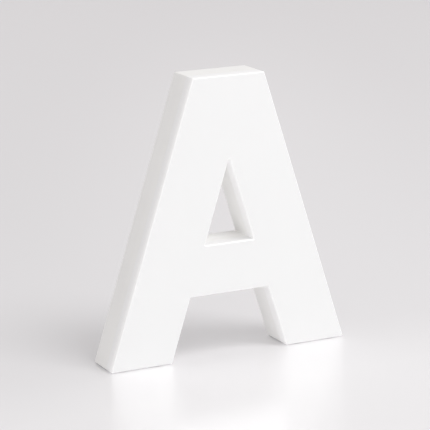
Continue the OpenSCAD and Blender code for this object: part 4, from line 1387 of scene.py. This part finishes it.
def buildStrips(solder):
    part = lampStrips
    front = boxOf("led_strip_bar")[0][1]
    housing = mouldedPlastic("lampHousing", *part["bodyLook"])
    window = mouldedPlastic("lampWindow", *part["windowLook"])
    lit = {"Emission Color": part["windowGlow"], "Emission Strength": 1.0}
    feedAll(window.node_tree, window.node_tree.nodes["Principled BSDF"], lit)
    resistors, caps, beads = newForm(), newForm(), newForm()
    for side, along in (("Left", 2), ("Right", 2), ("Bar", 0)):
        strip, lamps = "led_strip_" + side.lower(), "leds_" + side.lower()
        spots = lampSpots(lamps, along)
        board = stripFinish("stripBoard" + side, spots)
        softenNode(strip, "strip" + side, part["boardEdge"], board)
        bodies, windows = newForm(), newForm()
        addLamps(spots, front, bodies, windows, resistors, caps, beads)
        makePiece("lamps" + side, bodies, housing, lamps)
        makePiece("lampWindows" + side, windows, window)
    black = mouldedPlastic("resistorBlack", *part["resistorLook"])
    makePiece("stripResistors", resistors, black, "strip_resistors")
    makePiece("resistorCaps", caps, solder)
    makePiece("lampSolder", beads, solder)


# Control board: printed tracks, a legged chip, a shielded coil, and plugs in their headers

controlParts = {
    "maskColour": (0.010, 0.085, 0.030),
    "trackColour": (0.020, 0.15, 0.052),
    "tinColour": (0.62, 0.62, 0.60),
    "printColour": (0.72, 0.72, 0.70),
    "boardRough": (400, 0.22, 0.34),
    "chipLook": ((0.018, 0.018, 0.019), 0.5, 2200, 0.00002, 0.08),
    "ferriteLook": ((0.075, 0.075, 0.08), 0.6, 2600, 0.00004, 0.1),
    "ivoryLook": ((0.74, 0.70, 0.60), 0.45, 1600, 0.00001),
    "cellsPerMetre": 150,
    "cellSteps": ((0.39, 0.41), (0.79, 0.81)),
    "trackPitch": 1.0,
    "trackHalf": 0.22,
    "trackRise": 0.03,
    "viasPerMetre": 210,
    "viaRadius": 0.3,
    "viaSoft": 0.1,
    "viaMetal": 0.9,
    "printGap": 0.45,
    "printWidth": 0.22,
    "printDepth": (0.4, 0.2),
    "boardEdge": 0.1,
    "chipEdge": 0.12,
    "legPitch": 1.27,
    "legs": 4,
    "legWidth": 0.42,
    "legThickness": 0.2,
    "legPath": ((-0.1, 0.8), (0.3, 0.8), (0.42, 0.72), (0.55, 0.2), (0.67, 0.12), (1.05, 0.12)),
    "legBead": (0.4, 0.2),
    "coilEdge": 0.3,
    "coilRing": (2.45, 2.05),
    "coilGroove": 0.6,
    "drumSink": 0.08,
    "coilPlate": 0.25,
    "coilPlateWidth": 3.0,
    "coilPlateReach": (-1.2, 0.05),
    "coilPlateEdge": 0.05,
    "plugHeight": 6.0,
    "plugLength": 3.4,
    "plugInset": 0.4,
    "headerStart": 3.0,
    "wellSize": (2.4, 1.1),
    "wellCorner": 0.15,
    "wellDepth": 0.7,
    "contactInset": 0.2,
    "contactHalf": 0.3,
    "contactRise": 0.3,
    "contactSink": 0.05,
    "contactEdge": 0.06,
}
plugsLow, plugsHigh = boxOf("lead_connectors")
plugHalf = controlParts["plugHeight"] / 2
plugMiddles = (plugsLow[2] + plugHalf, plugsHigh[2] - plugHalf)


# printed frame: the way outside a box is the greater of the ways past its sides
def printedFrame(tree, x, z, low, high):
    gap = controlParts["printGap"]
    past = []
    for value, start, end in ((x, low[0], high[0]), (z, low[2], high[2])):
        away = mathOf(tree, "ABSOLUTE", mathOf(tree, "SUBTRACT", value, (start + end) / 2 * mm))
        past.append(mathOf(tree, "SUBTRACT", away, (end - start) / 2 * mm))
    return bandOf(tree, mathOf(tree, "MAXIMUM", *past), (gap, gap + controlParts["printWidth"]))


# lacquered board: in each cell the tracks run along Z or X, or the copper lies whole under the lacquer
def boardFinish():
    part = controlParts
    finish, tree, shader = newFinish("boardGreen")
    place = objectPlace(tree)
    x, y, z = partsOf(tree, place)
    choice = partsOf(tree, poresOf(tree, place, part["cellsPerMetre"], "MANHATTAN")["Color"])[0]
    second, third = (shareOf(tree, choice, *limits) for limits in part["cellSteps"])
    pitch, half = part["trackPitch"] * mm, part["trackHalf"] * mm
    lines = (belowOf(tree, mathOf(tree, "PINGPONG", value, pitch / 2), half) for value in (x, z))
    tracks = mixColours(tree, third, mixColours(tree, second, *lines), (1, 1, 1))
    reach, soft = part["viaRadius"] * mm * part["viasPerMetre"], part["viaSoft"]
    dots = poresOf(tree, place, part["viasPerMetre"])["Distance"]
    dots = shareOf(tree, dots, reach * (1 + soft), reach * (1 - soft))
    printed = 0.0
    boxes = [boxOf("boost_inductor"), boxOf("smoothing_capacitor")]
    boxes += [[(plugsLow[0], 0, middle - plugHalf), (plugsHigh[0], 0, middle + plugHalf)]
              for middle in plugMiddles]
    for low, high in boxes:
        printed = mathOf(tree, "MAXIMUM", printedFrame(tree, x, z, low, high), printed)
    far, near = (boxOf("control_board")[0][1] + np.array(part["printDepth"])) * mm
    printed = mathOf(tree, "MULTIPLY", printed, shareOf(tree, y, far, near))
    tone = mixColours(tree, tracks, part["maskColour"], part["trackColour"])
    tone = mixColours(tree, dots, tone, part["tinColour"])
    feedAll(tree, shader, {
        "Base Color": mixColours(tree, printed, tone, part["printColour"]),
        "Metallic": mathOf(tree, "MULTIPLY", dots, part["viaMetal"]),
        "Roughness": roughOf(tree, *part["boardRough"]),
        "Normal": bumpOf(tree, tracks, part["trackRise"] * mm)})
    return finish


# gull-wing legs: seen along Z, a leg's outline is its path moved to both sides by half its thickness
def addLegs(form, beads):
    part = controlParts
    low, high = boxOf("control_chip")
    path = np.array(part["legPath"])
    heading = unit(np.gradient(path, axis=0))
    aside = np.column_stack([-heading[:, 1], heading[:, 0]]) * part["legThickness"] / 2
    outline = np.concatenate([path + aside, (path - aside)[::-1]])
    middle = (low[2] + high[2]) / 2
    steps = (np.arange(part["legs"]) - (part["legs"] - 1) / 2) * part["legPitch"]
    for side, edge in ((-1, low[0]), (1, high[0])):
        for step in steps:
            z = middle + step + np.array((-0.5, 0.5)) * part["legWidth"]
            x = np.broadcast_to(edge + side * outline[:, 0], (2, len(outline)))
            y = np.broadcast_to(high[1] - outline[:, 1], x.shape)
            addWalls(form, np.stack([x, y, np.broadcast_to(z[:, None], x.shape)], axis=-1))
            addSolder(beads, (edge + side * path[-1, 0], high[1], middle + step), *part["legBead"])


# shielded coil: a square of ferrite with soft corners, and a round groove between its shield and its drum
def buildCoil(ferrite, solder):
    part = controlParts
    low, high = boxOf("boost_inductor")
    middle = (low + high) / 2
    outer, inner = part["coilRing"]
    front, bottom = low[1], low[1] + part["coilGroove"]
    groove = revolve([(outer, front), (outer, bottom), (inner, bottom), (inner, front + part["drumSink"])],
                     middle * (1, 0, 1), alongY, sides=40)
    form, plates = newForm(), newForm()
    addBlock(form, low, high, part["coilEdge"], [groove])
    makePiece("boostInductor", form, ferrite, "boost_inductor")
    half = part["coilPlateWidth"] / 2
    for side, face in ((-1, low[2]), (1, high[2])):
        near, far = sorted(face + side * np.array(part["coilPlateReach"]))
        addBlock(plates, (middle[0] - half, high[1] - part["coilPlate"], near),
                 (middle[0] + half, high[1], far), part["coilPlateEdge"])
    makePiece("coilPlates", plates, solder)


# each plug sits in its header, with a well over each of its two contacts
def buildPlugs(ivory, solder):
    part = controlParts
    form, contacts = newForm(), newForm()
    front, back, left, right = plugsLow[1], plugsHigh[1], plugsLow[0], plugsHigh[0]
    inset, half = part["plugInset"], part["contactHalf"]
    length, width = part["wellSize"]
    reach = length / 2 - part["contactInset"]
    start, floor = left + part["headerStart"], front + part["wellDepth"]
    x = (start + right) / 2
    for middle in plugMiddles:
        wells = []
        for side in (-1, 1):
            z = middle + side * innerParts["leadApart"]
            well = rectangle((x, z), length, width)
            wells.append(carryProfile(lambda by: roundedLoop(well, by, part["wellCorner"], steps=3),
                                      np.array([(0, front), (0, floor)])))
            addBlock(contacts, (x - reach, floor - part["contactRise"], z - half),
                     (x + reach, floor + part["contactSink"], z + half), part["contactEdge"])
        low, high = middle - plugHalf, middle + plugHalf
        addBlock(form, (start, front, low), (right, back, high), wells=wells)
        addBlock(form, (left, front + inset, low + inset),
                 (left + part["plugLength"], back - inset, high - inset))
    makePiece("leadConnectors", form, ivory, "lead_connectors")
    makePiece("plugContacts", contacts, solder)


def buildControl(solder):
    part = controlParts
    chip = mouldedPlastic("chipBlack", *part["chipLook"])
    softenNode("control_board", "controlBoard", part["boardEdge"], boardFinish())
    softenNode("control_chip", "controlChip", part["chipEdge"], chip)
    legs, beads = newForm(), newForm()
    addLegs(legs, beads)
    makePiece("chipLegs", legs, solder)
    makePiece("chipSolder", beads, solder)
    buildCoil(mouldedPlastic("ferriteGrey", *part["ferriteLook"]), solder)
    buildPlugs(mouldedPlastic("connectorIvory", *part["ivoryLook"]), solder)


# reflector: the letter's outline moved inwards, with a hole at each pillar and a port for the lamp leads
def buildTray(finish):
    part, edge = innerParts, innerParts["trayEdge"]
    low, high = boxOf("reflector_tray")
    through = plateEdge(low[1], high[1], part["trayFlat"], [edge, edge], steps=3, hold=0.03)
    port = rectangle((part["padX"], barMiddle + part["portRise"]), part["portSize"], part["portSize"])
    walls = letterWalls(through, low[2] - footZ)
    walls.append(carryProfile(lambda by: roundedLoop(port, -by, part["portCorner"]), through))
    walls += [revolve(through + (part["trayHole"], 0), np.array((x, 0, z)), alongY) for x, z in pillarSpots]
    makePiece("reflectorTray", walledForm(*walls), finish, "reflector_tray")


def buildInside():
    part = innerParts
    solder = drawnMetal("solder", *part["solderLook"])
    red = mouldedPlastic("leadRed", *part["redLook"])
    black = mouldedPlastic("leadBlack", *part["blackLook"])
    buildLeads(red, black, solder)
    buildCapacitor(solder)
    buildStrips(solder)
    buildControl(solder)
    buildTray(mouldedPlastic("reflectorWhite", *part["trayLook"]))


buildInside()
print("lamps, control and leads made")


# Camera: it stands left of the letter, a little above, and far enough for a long lens

cameraPlace = {
    "lens": 175.95,
    "sensorWidth": 36,
    "clipStart": 0.01,
    "azimuth": -26.97,
    "elevation": 14.11,
    "roll": -0.38,
    "distance": 7.36,
    "shiftRight": 0.018,
    "shiftUp": 0.0088,
    "aimHeight": 0.1208,
}


# Stage: one broad pale floor with painted light on it, soft light and a world that looks pale grey; lengths
# are in metres

stage = {
    "floorRings": (0.02, 0.3, 1.0, 4.0, 30.0),
    "floorSides": 96,
    # painted light: the floor's tones near the letter, far off and in front of it
    "floorNear": (0.80, 0.791, 0.805),
    "floorFar": (0.91, 0.894, 0.911),
    "floorFront": (0.860, 0.853, 0.865),
    "nearToFar": (0.15, 2.0),
    "backToFront": (0.02, -0.10),
    # painted light: a paler oval on the floor behind the letter
    "paintedPoolMiddle": (0.41, 0.745, 0),
    "paintedPoolReach": (0.28, 1.25, 1),
    "paintedPoolLift": 1.075,
    "glossFloor": 0.22,
    "floorIor": 1.9,
    "background": (0.715, 0.70, 0.707),
    "ambientLevel": (1.15, 1.127, 1.12),
    "ambientAbove": (0.50, 0.49, 0.487),
    "ambientRise": 0.9,
    "keyPlace": (0.62, -0.80, 1.75),
    "keyAim": (0, 0, 0.1),
    "keySize": 0.85,
    "keyPower": 15.0,
    "glowGap": 0.001,
    "poolHeight": 0.0705,
    "poolLength": 0.139,
    "poolPower": (0.0069, 0.0052),
    "barSize": (0.11, 0.04),
    "barPower": 0.012,
}


def floorFinish():
    finish, tree, shader = newFinish("floorFinish")
    place = objectPlace(tree)
    apart = vectorOf(tree, "LENGTH", {0: place})["Value"]
    # painted light: the floor's colour grows paler away from the letter and in front of it, standing in for
    # how the light falls on the floor
    near = shareOf(tree, apart, *stage["nearToFar"], interpolation_type="SMOOTHSTEP")
    around = mixColours(tree, near, stage["floorNear"], stage["floorFar"])
    ahead = mixColours(tree, near, stage["floorFront"], stage["floorFar"])
    tone = mixColours(tree, shareOf(tree, partsOf(tree, place)[1], *stage["backToFront"]), around, ahead)
    # painted light: a paler oval on the floor behind the letter, drawn out along the view, stands in for a
    # pool of light there
    turn = np.radians(cameraPlace["azimuth"])
    oval = patternPlace(tree, stage["paintedPoolMiddle"], (0, 0, turn), stage["paintedPoolReach"])
    outwards = vectorOf(tree, "LENGTH", {0: oval})["Value"]
    paintedPool = shareOf(tree, outwards, 1.0, 0.0, 1.0, stage["paintedPoolLift"], interpolation_type="SMOOTHSTEP")
    feedAll(tree, shader, {
        "Base Color": vectorOf(tree, "SCALE", {"Vector": tone, "Scale": paintedPool})["Vector"],
        "Roughness": stage["glossFloor"],
        "IOR": stage["floorIor"]})
    return finish


# the floor is rings of quads round a small flat middle
def buildFloor():
    rings = [(radius / mm, 0) for radius in stage["floorRings"]]
    form = newForm()
    ids = addGrid(form, revolve(rings, np.zeros(3), alongZ, stage["floorSides"]))
    addFill(form, [ids[0]])
    floor = addObject("floor", meshOf("floor", form))
    floor.data.materials.append(floorFinish())


def buildWorld():
    world = bpy.data.worlds.new("studio")
    bpy.context.scene.world = world
    world.use_nodes = True
    tree = world.node_tree
    tree.nodes.clear()
    rays = addNode(tree, "LightPath", {}).outputs
    seen = mathOf(tree, "MAXIMUM", rays["Is Camera Ray"], rays["Is Glossy Ray"])
    seen = mathOf(tree, "MAXIMUM", seen, rays["Is Transmission Ray"])
    # the light comes mostly from the sides, as in a light tent
    up = partsOf(tree, addNode(tree, "TexCoord", {}).outputs["Generated"])[2]
    tone = rampOf(tree, up, [(0.0, stage["ambientLevel"]), (stage["ambientRise"], stage["ambientAbove"])])
    light, pale = (addNode(tree, "Background", {"Color": colour}).outputs[0]
                   for colour in (tone, stage["background"]))
    mix = addNode(tree, "MixShader", {"Fac": seen, 1: light, 2: pale}).outputs[0]
    addNode(tree, "OutputWorld", {"Surface": mix})


def areaLight(name, place, aim, width, depth, power):
    lamp = bpy.data.lights.new(name, "AREA")
    lamp.shape = "RECTANGLE"
    lamp.size = width
    lamp.size_y = depth
    lamp.energy = power
    light = addObject(name, lamp)
    light.location = place
    light.rotation_euler = (Vector(aim) - light.location).to_track_quat("-Z", "Y").to_euler()


def buildLights():
    size = stage["keySize"]
    areaLight("key", stage["keyPlace"], stage["keyAim"], size, size, stage["keyPower"])
    # what the lit legs and bar shed on the floor in front of them
    front, height, bar = capLow[1] * mm - stage["glowGap"], stage["poolHeight"], barMiddle * mm
    for side, power in zip((-1, 1), stage["poolPower"]):
        across = side * legMiddle * mm
        areaLight(f"legGlow{side}", (across, front, height), (across, -1, height),
                  letter["legWidth"] * mm, stage["poolLength"], power)
    areaLight("barGlow", (0, front, bar), (0, -1, bar), *stage["barSize"], stage["barPower"])


def buildCamera():
    place = cameraPlace
    azimuth, elevation, roll = np.radians([place["azimuth"], place["elevation"], place["roll"]])
    flat = np.cos(elevation)
    back = Vector((np.sin(azimuth) * flat, -np.cos(azimuth) * flat, np.sin(elevation)))
    right = Vector((np.cos(azimuth), np.sin(azimuth), 0))
    up = back.cross(right)
    turnedRight = right * np.cos(roll) + up * np.sin(roll)
    turnedUp = up * np.cos(roll) - right * np.sin(roll)
    spot = Vector((0, 0, place["aimHeight"])) + letter["height"] * mm * (
        place["distance"] * back - place["shiftRight"] * turnedRight - place["shiftUp"] * turnedUp)
    camera = addObject("camera", bpy.data.cameras.new("camera"))
    camera.data.lens = place["lens"]
    camera.data.sensor_width = place["sensorWidth"]
    camera.data.clip_start = place["clipStart"]
    turned = Matrix((turnedRight, turnedUp, back)).transposed().to_4x4()
    camera.matrix_world = Matrix.Translation(spot) @ turned
    bpy.context.scene.camera = camera


buildFloor()
buildWorld()
buildLights()
buildCamera()
bpy.context.scene.view_settings.view_transform = "Standard"
print("stage, light and camera made")
